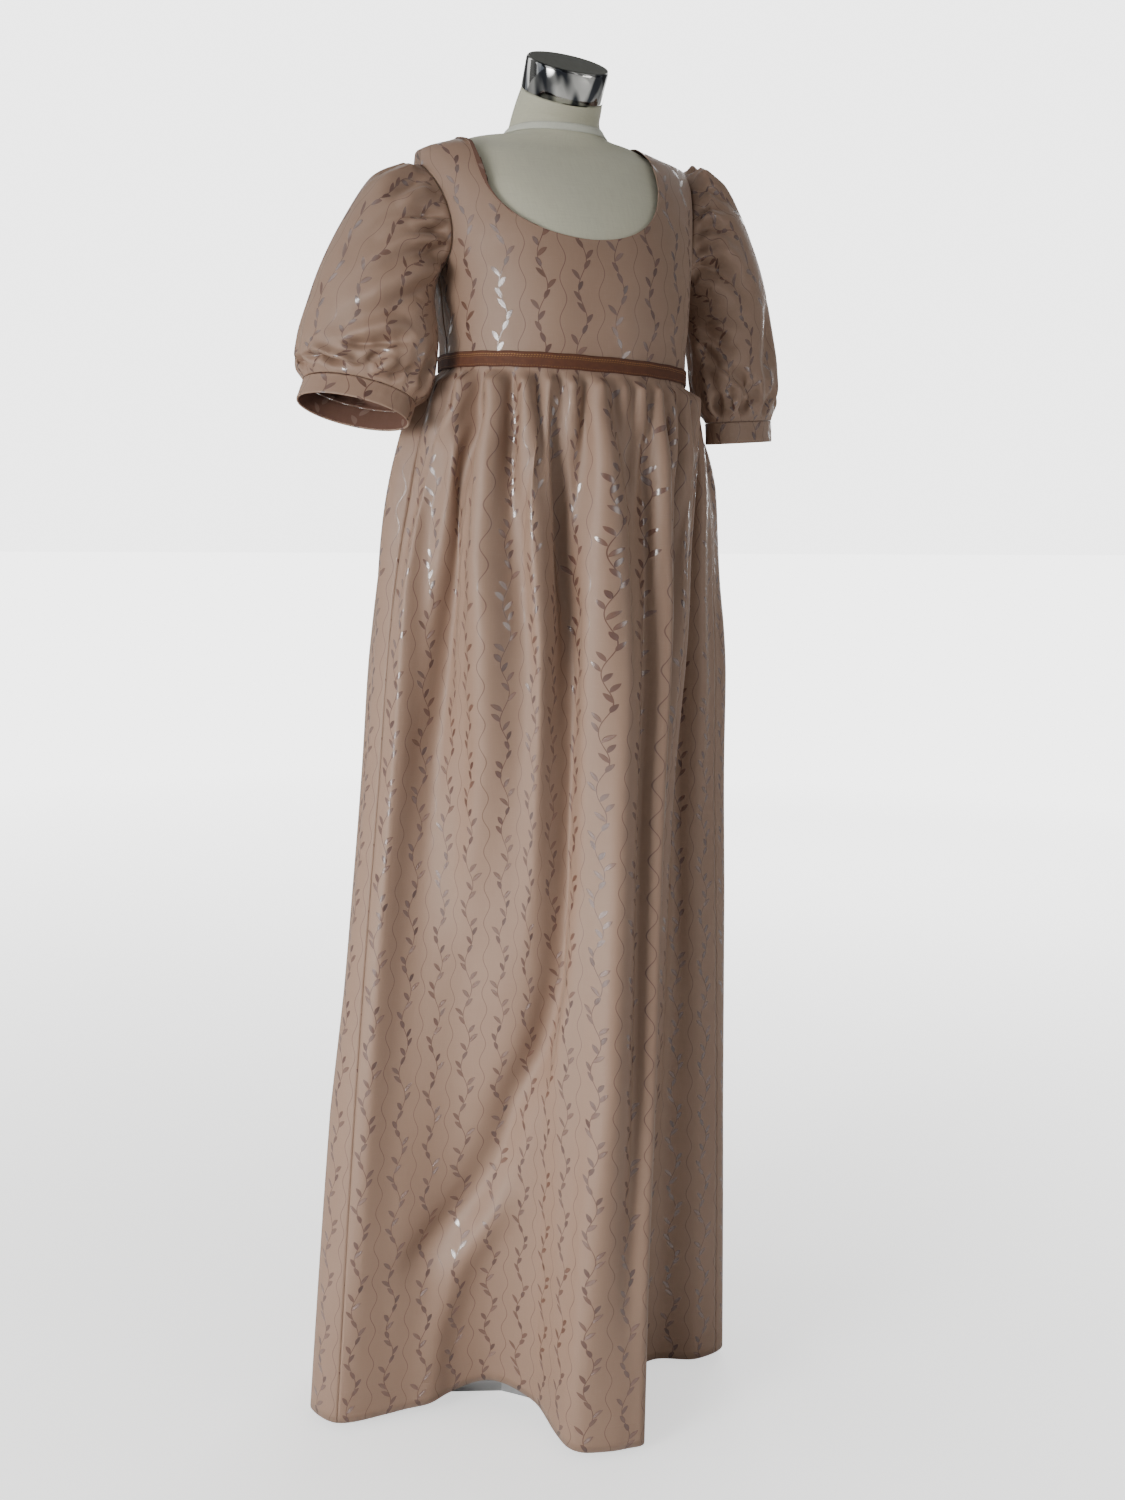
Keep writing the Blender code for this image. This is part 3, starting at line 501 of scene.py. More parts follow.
def buildRibbonMaterial():
    # measure: across is the length round the waist, up runs 0 to 1 over the ribbon's width
    made, build, shader = newMaterial("rustRibbon")
    m = build.math
    measure = build.add("ShaderNodeTexCoord").outputs["UV"]
    length, rise, _ = build.split(measure)
    turn = 2.0 * math.pi / ribbonFinish["dotStep"]
    gold = 0.0
    for at, halfWidth, phase, strength in ribbonFinish["goldLines"]:
        fromLine = m("ABSOLUTE", m("SUBTRACT", rise, at))
        band = m("DIVIDE", m("SUBTRACT", halfWidth, fromLine), 0.02, clamp=True)
        dots = m("MULTIPLY_ADD", m("SINE", m("MULTIPLY_ADD", length, turn, phase)), 0.9, 0.55,
                 clamp=True)
        gold = m("MAXIMUM", gold, m("MULTIPLY", m("MULTIPLY", band, dots), strength))
    cross = build.wave(length, 0.0013)
    rib = build.wave(rise, 1.0 / 14.0)
    mesh = m("MULTIPLY_ADD", m("MULTIPLY", cross, rib), 0.5, 0.5)
    tone = build.noise(build.scaled(measure, (160.0, 4.0, 1.0)), 1.0, 3.0)
    ground = build.mix(m("MULTIPLY", mesh, tone), ribbonFinish["dark"], ribbonFinish["ground"])
    colour = build.mix(m("MULTIPLY", gold, 0.8), ground, ribbonFinish["gold"])
    edge = m("GREATER_THAN", m("ABSOLUTE", m("SUBTRACT", rise, 0.5)), 0.455)
    colour = build.mix(m("MULTIPLY", edge, 0.7), colour, ribbonFinish["dark"])
    build.join(colour, shader.inputs["Base Color"])
    build.join(build.mixValue(gold, 0.0, 0.6), shader.inputs["Metallic"])
    build.join(build.mixValue(gold, 0.70, 0.38), shader.inputs["Roughness"])
    shader.inputs["Specular IOR Level"].default_value = 0.35
    build.bump(m("MULTIPLY_ADD", gold, 0.0001, m("MULTIPLY", mesh, 0.00014)), shader)
    return made


ribbonCloth = buildRibbonMaterial()

linen = {
    "chest": (0.500, 0.505, 0.395, 1.0),
    "warm": (0.530, 0.505, 0.390, 1.0),
    "threads": 1150.0,      # to a metre
    "tape": (0.62, 0.63, 0.55, 1.0),
    "tapeWarm": (0.56, 0.57, 0.49, 1.0),
    "tapeThreads": 900.0,
    "shade": 0.72,
}


def buildLinen(name, light, dark, threads):
    made, build, shader = newMaterial(name)
    m = build.math
    measure = build.add("ShaderNodeTexCoord").outputs["UV"]
    weave = placeGroup(build, weaveGroup, Measure=measure, Threads=threads)
    tone = build.noise(build.scaled(measure, (12.0, 12.0, 1.0)), 1.0, 3.0)
    colour = build.mix(tone, dark, light)
    shade = m("MULTIPLY", m("SUBTRACT", weave["Slub"], 0.42), 1.4, clamp=True)
    colour = build.mix(shade, colour, (*(c * linen["shade"] for c in dark[:3]), 1.0))
    build.join(colour, shader.inputs["Base Color"])
    build.join(build.mixValue(tone, 0.78, 0.90), shader.inputs["Roughness"])
    shader.inputs["Sheen Weight"].default_value = 0.15
    height = m("MULTIPLY_ADD", weave["Slub"], 0.00018, m("MULTIPLY", weave["Height"], 0.00005))
    build.bump(height, shader)
    return made


formLinen = buildLinen("formLinen", linen["chest"], linen["warm"], linen["threads"])
tapeLinen = buildLinen("neckTape", linen["tape"], linen["tapeWarm"], linen["tapeThreads"])


def buildMetal(name, colour, roughness, brushed, turned):
    made, build, shader = newMaterial(name)
    m = build.math
    place = build.add("ShaderNodeTexCoord").outputs["Object"]
    stretch = (3.0, 3.0, 900.0) if turned else (700.0, 12.0, 12.0)
    streak = build.noise(build.scaled(place, stretch), 1.0, 3.0)
    smear = build.noise(place, 28.0, 4.0)
    dull = m("MULTIPLY_ADD", smear, 0.10, roughness)
    build.join(m("MULTIPLY_ADD", streak, brushed, dull), shader.inputs["Roughness"])
    deep = tuple(c * 0.86 for c in colour[:3]) + (1.0,)
    build.join(build.mix(smear, deep, colour), shader.inputs["Base Color"])
    shader.inputs["Metallic"].default_value = 1.0
    build.bump(m("MULTIPLY", streak, brushed * 0.00012), shader)
    return made


def buildChrome():
    # polished side whose colour carries upright dark and bright streaks, painted reflections; its roughness
    # is cloudy in patches
    made, build, shader = newMaterial("chromePaintedReflections")
    m = build.math
    place = build.add("ShaderNodeTexCoord").outputs["Object"]
    streak = build.noise(build.scaled(place, (46.0, 46.0, 0.6)), 1.0, 1.5)
    # painted reflections: upright bands of near black and bright chrome mixed into the colour
    dark = m("MULTIPLY_ADD", streak, 7.0, -2.9, clamp=True)
    build.join(build.mix(dark, (0.055, 0.060, 0.070, 1.0), (0.66, 0.66, 0.64, 1.0)),
               shader.inputs["Base Color"])
    cloud = build.noise(place, 60.0, 3.0)
    build.join(m("MULTIPLY_ADD", cloud, 0.10, 0.04), shader.inputs["Roughness"])
    shader.inputs["Metallic"].default_value = 1.0
    return made


metal = {
    "capTop": (0.110, 0.113, 0.092, 1.0),
    "stand": (0.55, 0.55, 0.56, 1.0),
}
chromeSide = buildChrome()
chromeTop = buildMetal("brushedCapTop", metal["capTop"], 0.42, 0.10, False)
standSteel = buildMetal("brushedSteel", metal["stand"], 0.26, 0.14, True)
print("finishes built")


body = {
    "axisX": 0.0010,
    "axisY": -0.0586,
    "roundness": 2.25,
    "cloth": 0.0012,
    "seamGap": 0.0003,
    "waist": 1.2440,
    "waistLean": 0.0055,
}
bodiceSections = (      # height, half width, front, side, back
    (1.2300, 0.1370, -0.1270, -0.007, 0.1130),
    (1.2680, 0.1371, -0.1271, -0.007, 0.1130),
    (1.2900, 0.1395, -0.1300, -0.004, 0.1145),
    (1.3300, 0.1425, -0.1275, 0.000, 0.1160),
    (1.3710, 0.1490, -0.1180, 0.006, 0.1170),
    (1.4000, 0.1540, -0.1050, 0.012, 0.1150),
    (1.4300, 0.1590, -0.0880, 0.018, 0.1090),
    (1.4550, 0.1620, -0.0680, 0.024, 0.1000),
    (1.4720, 0.1600, -0.0500, 0.028, 0.0910),
    (1.4840, 0.1300, -0.0360, 0.032, 0.0840),
    (1.4930, 0.1050, -0.0270, 0.035, 0.0780),
    (1.4985, 0.0830, -0.0265, 0.033, 0.0785),
)


def sectionAt(table, height):
    heights = [row[0] for row in table]
    return (height, *(along(heights, [row[k] for row in table], height) for k in range(1, 5)))


def sectionPoint(section, degrees):
    height, halfWidth, front, side, back = section
    angle = math.radians(degrees)
    sine, cosine = math.sin(angle), math.cos(angle)
    power = 2.0 / body["roundness"]
    x = halfWidth * math.copysign(abs(sine) ** power, sine)
    reach = front if cosine > 0.0 else back
    y = side + (reach - side) * abs(cosine) ** power
    return Vector((body["axisX"] + x, body["axisY"] + y, height))


def bodyPoint(table, degrees, height, out):
    # a point moved out from the surface that the sections span
    below, above = max(height - 0.002, table[0][0]), min(height + 0.002, table[-1][0])
    section = sectionAt(table, height)
    point = sectionPoint(section, degrees)
    across = sectionPoint(section, degrees + 1.0) - sectionPoint(section, degrees - 1.0)
    upwards = (sectionPoint(sectionAt(table, above), degrees)
               - sectionPoint(sectionAt(table, below), degrees))
    return point + across.cross(upwards).normalized() * out


def waistHeight(degrees):
    return body["waist"] - body["waistLean"] * math.sin(math.radians(degrees))


arcStep = 0.01


def buildArcTable():
    # length round the bodice from its middle, for heights and angles
    heights = [1.23 + arcStep * i for i in range(27)]
    table = []
    for height in heights:
        section = sectionAt(bodiceSections, height)
        total, row = 0.0, [0.0]
        before = sectionPoint(section, 0.0)
        for step in range(1, 181):
            point = sectionPoint(section, float(step))
            total += (point - before).length
            row.append(total)
            before = point
        table.append(row)
    return heights, table


arcHeights, arcTable = buildArcTable()


def arcAt(degrees, height):
    i = min(max((height - arcHeights[0]) / arcStep, 0.0), len(arcHeights) - 1.001)
    j = min(abs(degrees), 179.99)
    low, left = int(i), int(j)
    a, b = arcTable[low], arcTable[low + 1]
    near = a[left] + (a[left + 1] - a[left]) * (j - left)
    far = b[left] + (b[left + 1] - b[left]) * (j - left)
    return math.copysign(near + (far - near) * (i - low), degrees)


bodice = {
    "necklineBottom": 1.3710,
    # the gown sits a little askew on the form: the wearer's right side (-1) hangs lower
    "neckPoint": {-1.0: 1.4880, 1.0: 1.4970},
    "shoulderTip": {-1.0: 1.4560, 1.0: 1.4730},
    "centreTurn": -5.0,     # degrees that the neckline's middle lies off the front
    "squareness": 3.3,
    "crowding": 2.2,
    "backNeckBottom": 1.4500,
    "underarm": 1.3450,
    "reachFront": 21.0,
    "reachBack": 17.0,
    "necklineShare": 0.50,
    "shoulderShare": 0.60,
    "columnBend": 0.90,
    "columnShares": (0.0, 0.30, 0.50, 0.60, 0.80, 1.0),
    "columnDegrees": (0.0, 47.0, 54.0, 60.0, 69.0, 90.0),
    "plumbLevel": 1.330,    # height at which the upright threads are measured
    "plumbWidth": 0.105,    # the threads are upright this far out from the middle
    "patternShift": (0.0105, 0.004),
    "columns": 84,          # for half a panel
    "rows": 64,
    # soft drag lines: across, up, half width and height at each knot
    "frontCreases": (
        ((-150, 105, 9, 0), (-127, 113, 9, -0.8), (-103, 120, 9, -0.8), (-80, 128, 9, 0)),
        ((-158, 85, 11, 0), (-137, 89, 11, 0.7), (-116, 92, 11, 0.7), (-95, 96, 11, 0)),
        ((-150, 130, 8, 0), (-133, 140, 8, 0.7), (-117, 150, 8, 0.7), (-100, 160, 8, 0)),
        ((150, 100, 10, 0), (130, 110, 10, -0.8), (110, 120, 10, -0.8), (90, 130, 10, 0)),
        ((158, 80, 12, 0), (139, 83, 12, 0.8), (119, 85, 12, 0.8), (100, 88, 12, 0)),
        ((145, 140, 8, 0), (132, 151, 8, 0.7), (118, 161, 8, 0.7), (105, 172, 8, 0)),
        ((-60, 12, 13, 0), (-57, 35, 13, 0.8), (-55, 57, 13, 0.8), (-52, 80, 13, 0)),
        ((-22, 10, 15, 0), (-23, 38, 15, -0.7), (-25, 67, 15, -0.7), (-26, 95, 15, 0)),
        ((20, 12, 12, 0), (19, 31, 12, 0.7), (17, 51, 12, 0.7), (16, 70, 12, 0)),
        ((64, 12, 14, 0), (61, 36, 14, -0.7), (59, 61, 14, -0.7), (56, 85, 14, 0)),
        ((-100, 10, 11, 0), (-97, 27, 11, -0.7), (-93, 43, 11, -0.7), (-90, 60, 11, 0)),
        ((108, 12, 12, 0), (105, 30, 12, 0.7), (101, 48, 12, 0.7), (98, 66, 12, 0)),
    ),
    "backCreases": (
        ((30, 12, 12, 0), (33, 45, 12, 0.8), (37, 77, 12, 0.8), (40, 110, 12, 0)),
        ((75, 12, 14, 0), (73, 38, 14, -0.8), (72, 64, 14, -0.8), (70, 90, 14, 0)),
        ((120, 70, 10, 0), (107, 83, 10, 0.8), (93, 97, 10, 0.8), (80, 110, 10, 0)),
        ((110, 12, 11, 0), (108, 28, 11, 0.7), (106, 44, 11, 0.7), (104, 60, 11, 0)),
        ((45, 140, 12, 0), (60, 157, 12, -0.7), (75, 173, 12, -0.7), (90, 190, 12, 0)),
    ),
}


def widthOfAngle(degrees, height):
    return sectionAt(bodiceSections, height)[1] * math.sin(math.radians(degrees)) ** (
        2.0 / body["roundness"])


def angleOfWidth(width, height):
    share = min(width / sectionAt(bodiceSections, height)[1], 1.0) ** (body["roundness"] / 2.0)
    return math.degrees(math.asin(share))


def bodiceEdge(share, reach, bottom, side):
    # from the middle of the neckline over the shoulder and round the armhole to the underarm
    neck, tip = bodice["neckPoint"][side], bodice["shoulderTip"][side]
    if share <= bodice["necklineShare"]:
        part = 1.0 - (1.0 - share / bodice["necklineShare"]) ** bodice["crowding"]
        turn = math.radians(90.0 * part)
        fall = max(math.cos(turn), 0.0) ** (2.0 / bodice["squareness"])
        height = neck - (neck - bottom) * fall
        return angleOfWidth(sectionAt(bodiceSections, neck)[1] * math.sin(turn), height), height
    if share <= bodice["shoulderShare"]:
        part = (share - bodice["necklineShare"]) / (bodice["shoulderShare"] - bodice["necklineShare"])
        return 90.0, neck + (tip - neck) * part
    turn = math.pi * (share - bodice["shoulderShare"]) / (1.0 - bodice["shoulderShare"])
    middle, half = (tip + bodice["underarm"]) / 2.0, (tip - bodice["underarm"]) / 2.0
    return 90.0 - reach * math.sin(turn), middle + half * math.cos(turn)


def bodicePlace(share, rise, reach, bottom, side):
    edgeAngle, edgeHeight = bodiceEdge(share, reach, bottom, side)
    startAngle = along(bodice["columnShares"], bodice["columnDegrees"], share)
    keep, middle, end = (1.0 - rise) ** 2, 2.0 * rise * (1.0 - rise), rise * rise
    bend = body["waist"] + (edgeHeight - body["waist"]) * bodice["columnBend"]
    height = body["waist"] * keep + bend * middle + edgeHeight * end
    width = (widthOfAngle(startAngle, body["waist"]) * (keep + middle)
             + widthOfAngle(edgeAngle, edgeHeight) * end)
    byWidth = angleOfWidth(width, height)
    byAngle = startAngle * (keep + middle) + edgeAngle * end
    blend = smoothstep((share - bodice["shoulderShare"]) / (1.0 - bodice["shoulderShare"]))
    return byWidth + (byAngle - byWidth) * blend, height


def clothAcross(angle, height):
    # metres of cloth from the middle, with its threads upright over the chest
    level, plumb = bodice["plumbLevel"], bodice["plumbWidth"]
    x = widthOfAngle(angle, height)
    across = arcAt(angleOfWidth(min(x, plumb), level), level)
    if x > plumb:
        across += arcAt(angle, height) - arcAt(angleOfWidth(plumb, height), height)
    return across


def buildBodicePanel(name, node, shares, side, behind, shift):
    reach = bodice["reachBack"] if behind else bodice["reachFront"]
    bottom = bodice["backNeckBottom"] if behind else bodice["necklineBottom"]
    rows = bodice["rows"] // 1
    points, measures = [], []
    for r in range(rows + 1):
        rise = r / rows
        line, marks = [], []
        for share in shares:
            sign = side * (1.0 if share >= 0.0 else -1.0)
            angle, height = bodicePlace(abs(share), rise, reach, bottom, sign)
            degrees = sign * (180.0 - angle if behind else angle)
            if not behind:
                degrees += bodice["centreTurn"] * rise ** 2 * max(1.0 - 2.0 * abs(share), 0.0) ** 1.5
                sign, angle = math.copysign(1.0, degrees), abs(degrees)
            lean = (waistHeight(degrees) - body["waist"]) * (1.0 - rise)
            point = sectionPoint(sectionAt(bodiceSections, height + lean), degrees)
            line.append(point + shift)
            marks.append((sign * clothAcross(angle, height), height - body["waist"]))
        points.append(line)
        measures.append(marks)
    points, measures = np.array(points, float), np.array(measures, float)
    creases = bodice["backCreases" if behind else "frontCreases"]
    across = measures[..., 0] * (side if behind else 1.0)
    push = foldField(creases, across, measures[..., 1])
    rises = np.linspace(0, 1, rows + 1)[:, None]
    push = push * np.clip(np.minimum(rises * 12.0, rises[::-1] * 10.0), 0.0, 1.0)
    points = points + gridNormals(points, False) * push[..., None]
    uvs = measures + np.array(bodice["patternShift"])
    piece = addPiece(name, gridMesh(points, uvs), gownCloth, node)
    return addWall(piece, body["cloth"])


def buildBodice():
    steps = bodice["columns"] // 1
    half = [i / steps for i in range(steps + 1)]
    gap = body["seamGap"] / 2.0
    front = buildBodicePanel("bodiceFront", "bodice_front", [-s for s in half[:0:-1]] + half,
                             1.0, False, Vector((0.0, -gap, 0.0)))
    backLeft = buildBodicePanel("bodiceBackLeft", "bodice_back_left", half[::-1],
                                1.0, True, Vector((gap, gap, 0.0)))
    backRight = buildBodicePanel("bodiceBackRight", "bodice_back_right", half,
                                 -1.0, True, Vector((-gap, gap, 0.0)))
    print("bodice built")
    return front, backLeft, backRight


bodicePanels = buildBodice()


sleeve = {
    "columns": 216,
    "rows": 84,
    "steps": 10,            # the first step runs from the armhole to the head
    "lap": 0.0008,
    "cutWidth": 0.46,
    "cutLength": 0.31,
    "girth": 0.360,         # one turn of the sleeve on the crease tables, 1 mm for a degree
    "fall": 0.290,
    "creaseDepth": 2.8,
    "headGathers": 15,
    "headDepth": 0.0028,
    "headFull": 0.10,
    "headEnd": 0.40,
    "headUnderarm": 0.35,
    "headWander": 0.8,
    "cuffGathers": 18,
    "cuffDepth": 0.0035,
    "cuffStart": 0.55,
    "cuffFull": 0.88,
    "cuffWander": 1.1,
    "cuffWall": 0.0022,
}
sleeveSections = (      # outer point, inner point, half depth, degrees that the depth faces outwards
    (0.176, 0.027, 1.480, 0.149, -0.002, 1.334, 0.050, 5.0),
    (0.207, 0.031, 1.462, 0.153, -0.010, 1.320, 0.054, 14.0),
    (0.243, 0.037, 1.405, 0.156, -0.024, 1.303, 0.052, 24.0),
    (0.272, 0.042, 1.335, 0.158, -0.036, 1.281, 0.047, 31.0),
    (0.287, 0.044, 1.275, 0.162, -0.042, 1.250, 0.044, 35.0),
    (0.290, 0.041, 1.238, 0.170, -0.040, 1.224, 0.040, 35.0),
    (0.285, 0.0355, 1.213, 0.183, -0.0355, 1.205, 0.032, 35.0),
)
# how each sleeve hangs, then its creases: degrees round, millimetres down, half width, height
sleeveHangs = (
    {"name": "Right", "side": -1.0, "puffRise": -0.024, "cuffRise": 0.004, "tip": 30.0, "dip": 0.006,
     "creases": (
         ((93, 6, 4, 0), (88, 30, 5, -3.5), (80, 66, 7, -3.5), (66, 104, 8, -2.5), (48, 134, 9, 0)),
         ((101, 8, 4, 0), (96, 30, 5, 3), (88, 60, 7, 3), (76, 96, 8, 2), (60, 128, 9, 0)),
         ((109, 6, 4, 0), (104, 26, 5, -4), (93, 64, 7, -4), (78, 102, 8, -3), (58, 142, 10, 0)),
         ((119, 10, 5, 0), (112, 38, 7, 3.2), (101, 74, 9, 3), (84, 116, 10, 2), (66, 150, 10, 0)),
         ((128, 8, 5, 0), (122, 36, 7, -4), (112, 70, 9, -4), (96, 110, 11, -3), (72, 154, 12, 0)),
         ((144, 24, 6, 0), (134, 64, 9, 3), (118, 108, 11, 3), (98, 146, 12, 2.5), (74, 176, 12, 0)),
         ((150, 70, 8, 0), (134, 112, 11, -3.2), (112, 150, 12, -3.4), (84, 182, 12, -2), (60, 200, 11, 0)),
         ((80, 216, 8, 0), (92, 210, 9, -4), (110, 197, 9, -4.5), (126, 186, 9, -3), (140, 176, 8, 0)),
         ((80, 192, 10, 0), (96, 188, 12, 3), (114, 174, 12, 3.5), (132, 160, 10, 0)),
         ((40, 240, 9, 0), (58, 252, 10, -4.5), (75, 264, 9, -4.5), (90, 278, 7, 0)),
         ((46, 222, 9, 0), (66, 238, 10, 3.5), (86, 250, 9, 3), (99, 264, 7, 0)),
         ((102, 278, 5, 0), (106, 250, 7, -3.5), (111, 226, 7, -3), (121, 205, 7, 0)),
         ((112, 282, 5, 0), (116, 254, 7, 3), (124, 226, 7, 2.4), (132, 208, 6, 0)),
         ((128, 282, 5, 0), (133, 262, 6, -3), (142, 240, 7, -2.5), (152, 222, 7, 0)),
         ((8, 12, 4, 0), (10, 34, 6, -2.2), (14, 62, 8, -1.6), (18, 84, 8, 0)),
         ((30, 10, 4, 0), (32, 30, 6, 2), (36, 62, 8, 1.8), (38, 92, 8, 0)),
         ((48, 10, 4, 0), (50, 32, 5, -2.5), (54, 58, 7, -2), (57, 80, 7, 0)),
         ((66, 10, 4, 0), (67, 30, 5, 2), (68, 52, 6, 1.8), (68, 72, 7, 0)),
         ((20, 236, 8, 0), (26, 256, 9, -3.5), (34, 276, 7, -2), (38, 286, 6, 0)),
         ((176, 180, 9, 0), (170, 206, 10, -3.5), (160, 236, 10, -3.5), (156, 266, 8, 0)),
         ((198, 90, 9, 0), (204, 130, 12, -3), (210, 170, 12, -3), (208, 210, 10, 0)),
         ((226, 14, 5, 0), (230, 44, 8, -3), (238, 84, 10, -3), (250, 118, 10, 0)),
         ((244, 12, 5, 0), (248, 40, 8, 2.6), (256, 78, 10, 2.4), (266, 110, 10, 0)),
         ((262, 10, 5, 0), (268, 36, 7, -3), (276, 74, 9, -3), (284, 100, 9, 0)),
         ((286, 10, 4, 0), (290, 32, 6, 2.2), (298, 62, 8, 2), (304, 86, 8, 0)),
         ((312, 10, 4, 0), (315, 32, 6, -2.5), (320, 60, 8, -2.2), (324, 84, 8, 0)),
         ((336, 10, 4, 0), (337, 30, 6, 2.2), (340, 56, 8, 2), (342, 80, 8, 0)),
         ((232, 200, 9, 0), (250, 212, 11, -4), (272, 218, 11, -4), (296, 214, 9, 0)),
         ((236, 176, 10, 0), (256, 188, 12, 3.2), (280, 192, 12, 3), (300, 186, 10, 0)),
         ((250, 282, 6, 0), (262, 262, 8, -3.5), (280, 246, 9, -3.5), (300, 240, 8, 0)),
         ((316, 284, 6, 0), (322, 264, 8, -3), (334, 246, 9, -3), (348, 236, 8, 0)),
     )},
    {"name": "Left", "side": 1.0, "puffRise": 0.008, "cuffRise": -0.010, "tip": 2.0, "dip": 0.0,
     "creases": (
         ((136, 6, 5, 0), (124, 28, 6, -3.5), (117, 62, 8, -4.5), (107, 110, 9, -2), (98, 134, 9, 0)),
         ((118, 6, 5, 0), (110, 30, 7, 3), (102, 64, 8, 3.4), (92, 106, 9, 0)),
         ((148, 8, 5, 0), (139, 36, 8, 3), (132, 72, 9, 3.4), (122, 116, 10, 0)),
         ((74, 6, 4, 0), (72, 18, 5, -3), (68, 40, 6, -2.4), (62, 60, 7, 0)),
         ((84, 6, 4, 0), (82, 18, 5, 2.2), (78, 40, 6, 2), (74, 62, 7, 0)),
         ((94, 6, 4, 0), (91, 18, 5, -3), (86, 42, 6, -2.6), (80, 70, 7, 0)),
         ((104, 6, 4, 0), (101, 20, 5, 2), (96, 44, 6, 2), (90, 70, 7, 0)),
         ((112, 6, 4, 0), (109, 18, 5, -2.6), (105, 36, 6, -2), (99, 58, 7, 0)),
         ((174, 120, 8, 0), (161, 140, 10, -3.4), (147, 159, 10, -3.4), (132, 176, 9, 0)),
         ((160, 118, 9, 0), (150, 134, 10, 2.8), (138, 150, 10, 2.6), (126, 162, 9, 0)),
         ((184, 156, 8, 0), (173, 167, 9, -4), (157, 187, 9, -4), (144, 200, 8, 0)),
         ((172, 188, 8, 0), (155, 204, 9, 3), (136, 224, 9, 3.2), (120, 246, 8, 0)),
         ((150, 192, 8, 0), (139, 204, 10, -4.5), (119, 232, 10, -4.5), (103, 254, 8, 0)),
         ((170, 280, 5, 0), (168, 262, 6, -3), (164, 244, 7, -2.6), (158, 228, 7, 0)),
         ((132, 284, 5, 0), (130, 266, 6, -3), (124, 252, 7, -2.6), (116, 240, 7, 0)),
         ((150, 284, 5, 0), (148, 264, 6, 2.6), (144, 248, 7, 2.4), (138, 236, 7, 0)),
         ((92, 284, 6, 0), (88, 262, 8, -3.4), (80, 244, 9, -3), (70, 228, 8, 0)),
         ((64, 280, 6, 0), (58, 258, 8, -3), (46, 240, 9, -3), (32, 230, 8, 0)),
         ((60, 140, 10, 0), (72, 170, 12, -3), (86, 196, 12, -3), (96, 214, 9, 0)),
         ((10, 10, 4, 0), (12, 32, 6, -2.4), (15, 60, 8, -2), (18, 84, 8, 0)),
         ((32, 10, 4, 0), (33, 30, 6, 2), (35, 58, 8, 1.8), (36, 84, 8, 0)),
         ((52, 10, 4, 0), (52, 30, 5, -2.4), (50, 54, 7, -2), (48, 78, 7, 0)),
         ((206, 80, 9, 0), (212, 122, 12, -3.2), (216, 166, 12, -3), (210, 208, 10, 0)),
         ((232, 12, 5, 0), (238, 44, 8, -3), (248, 86, 10, -3), (258, 124, 10, 0)),
         ((252, 12, 5, 0), (258, 40, 8, 2.6), (266, 78, 10, 2.4), (276, 112, 10, 0)),
         ((272, 10, 5, 0), (277, 36, 7, -3), (286, 72, 9, -3), (294, 100, 9, 0)),
         ((298, 10, 4, 0), (302, 32, 6, 2.2), (308, 62, 8, 2), (314, 86, 8, 0)),
         ((326, 10, 4, 0), (329, 32, 6, -2.4), (334, 60, 8, -2), (338, 84, 8, 0)),
         ((240, 206, 9, 0), (258, 218, 11, -4), (280, 222, 11, -4), (302, 214, 9, 0)),
         ((246, 182, 10, 0), (266, 194, 12, 3.2), (288, 196, 12, 3), (308, 188, 10, 0)),
         ((262, 282, 6, 0), (272, 262, 8, -3.4), (290, 246, 9, -3.4), (310, 240, 8, 0)),
         ((326, 284, 6, 0), (332, 264, 8, -3), (344, 248, 9, -3), (358, 240, 8, 0)),
     )},
)


def sleeveRing(hang, share, turnDegrees, out=0.0):
    knots = [i / (len(sleeveSections) - 1) for i in range(len(sleeveSections))]
    now = [along(knots, [row[k] for row in sleeveSections], share) for k in range(8)]
    late = smoothstep(share * 2.0 - 1.0)
    rise = hang["puffRise"] * (1.0 - share) + hang["cuffRise"] * share
    dip, tip = hang["dip"] * late, math.radians(hang["tip"] * late)
    outer = Vector((now[0], now[1], now[2] + rise + dip))
    inner = Vector((now[3], now[4], now[5] + rise * share - dip))
    face = math.radians(now[7])
    front = Vector((math.sin(face) * math.cos(tip), -math.cos(face) * math.cos(tip),
                    math.sin(tip))) * (now[6] + out)
    width = (outer - inner) / 2.0
    width += width.normalized() * out
    turn = math.radians(turnDegrees)
    point = (outer + inner) / 2.0 + width * math.cos(turn) + front * math.sin(turn)
    down = width.cross(front).normalized()
    side = hang["side"]
    return (Vector((body["axisX"] + side * point.x, body["axisY"] + point.y, point.z)),
            Vector((side * down.x, down.y, down.z)))


def armholePoint(side, turnDegrees):
    turn = math.radians(turnDegrees)
    reach = bodice["reachFront"] if math.sin(turn) > 0.0 else bodice["reachBack"]
    tip = bodice["shoulderTip"][side]
    middle, half = (tip + bodice["underarm"]) / 2.0, (tip - bodice["underarm"]) / 2.0
    return bodyPoint(bodiceSections, side * (90.0 - reach * math.sin(turn)),
                     middle + half * math.cos(turn), sleeve["lap"])


def sleeveGather(share, turnDegrees):
    turn = math.radians(turnDegrees)
    head = hump(share, 0.0, sleeve["headFull"], sleeve["headEnd"])
    head *= sleeve["headUnderarm"] + (1.0 - sleeve["headUnderarm"]) * max(math.cos(turn), 0.0)
    cuff = hump(share, sleeve["cuffStart"], sleeve["cuffFull"], 1.0)
    headTurn = sleeve["headGathers"] * turn + sleeve["headWander"] * math.sin(2.0 * turn)
    cuffTurn = sleeve["cuffGathers"] * turn + sleeve["cuffWander"] * math.sin(3.0 * turn)
    return (sleeve["headDepth"] * head * (0.5 + 0.5 * math.cos(headTurn))
            + sleeve["cuffDepth"] * cuff * (0.5 + 0.5 * math.cos(cuffTurn)))


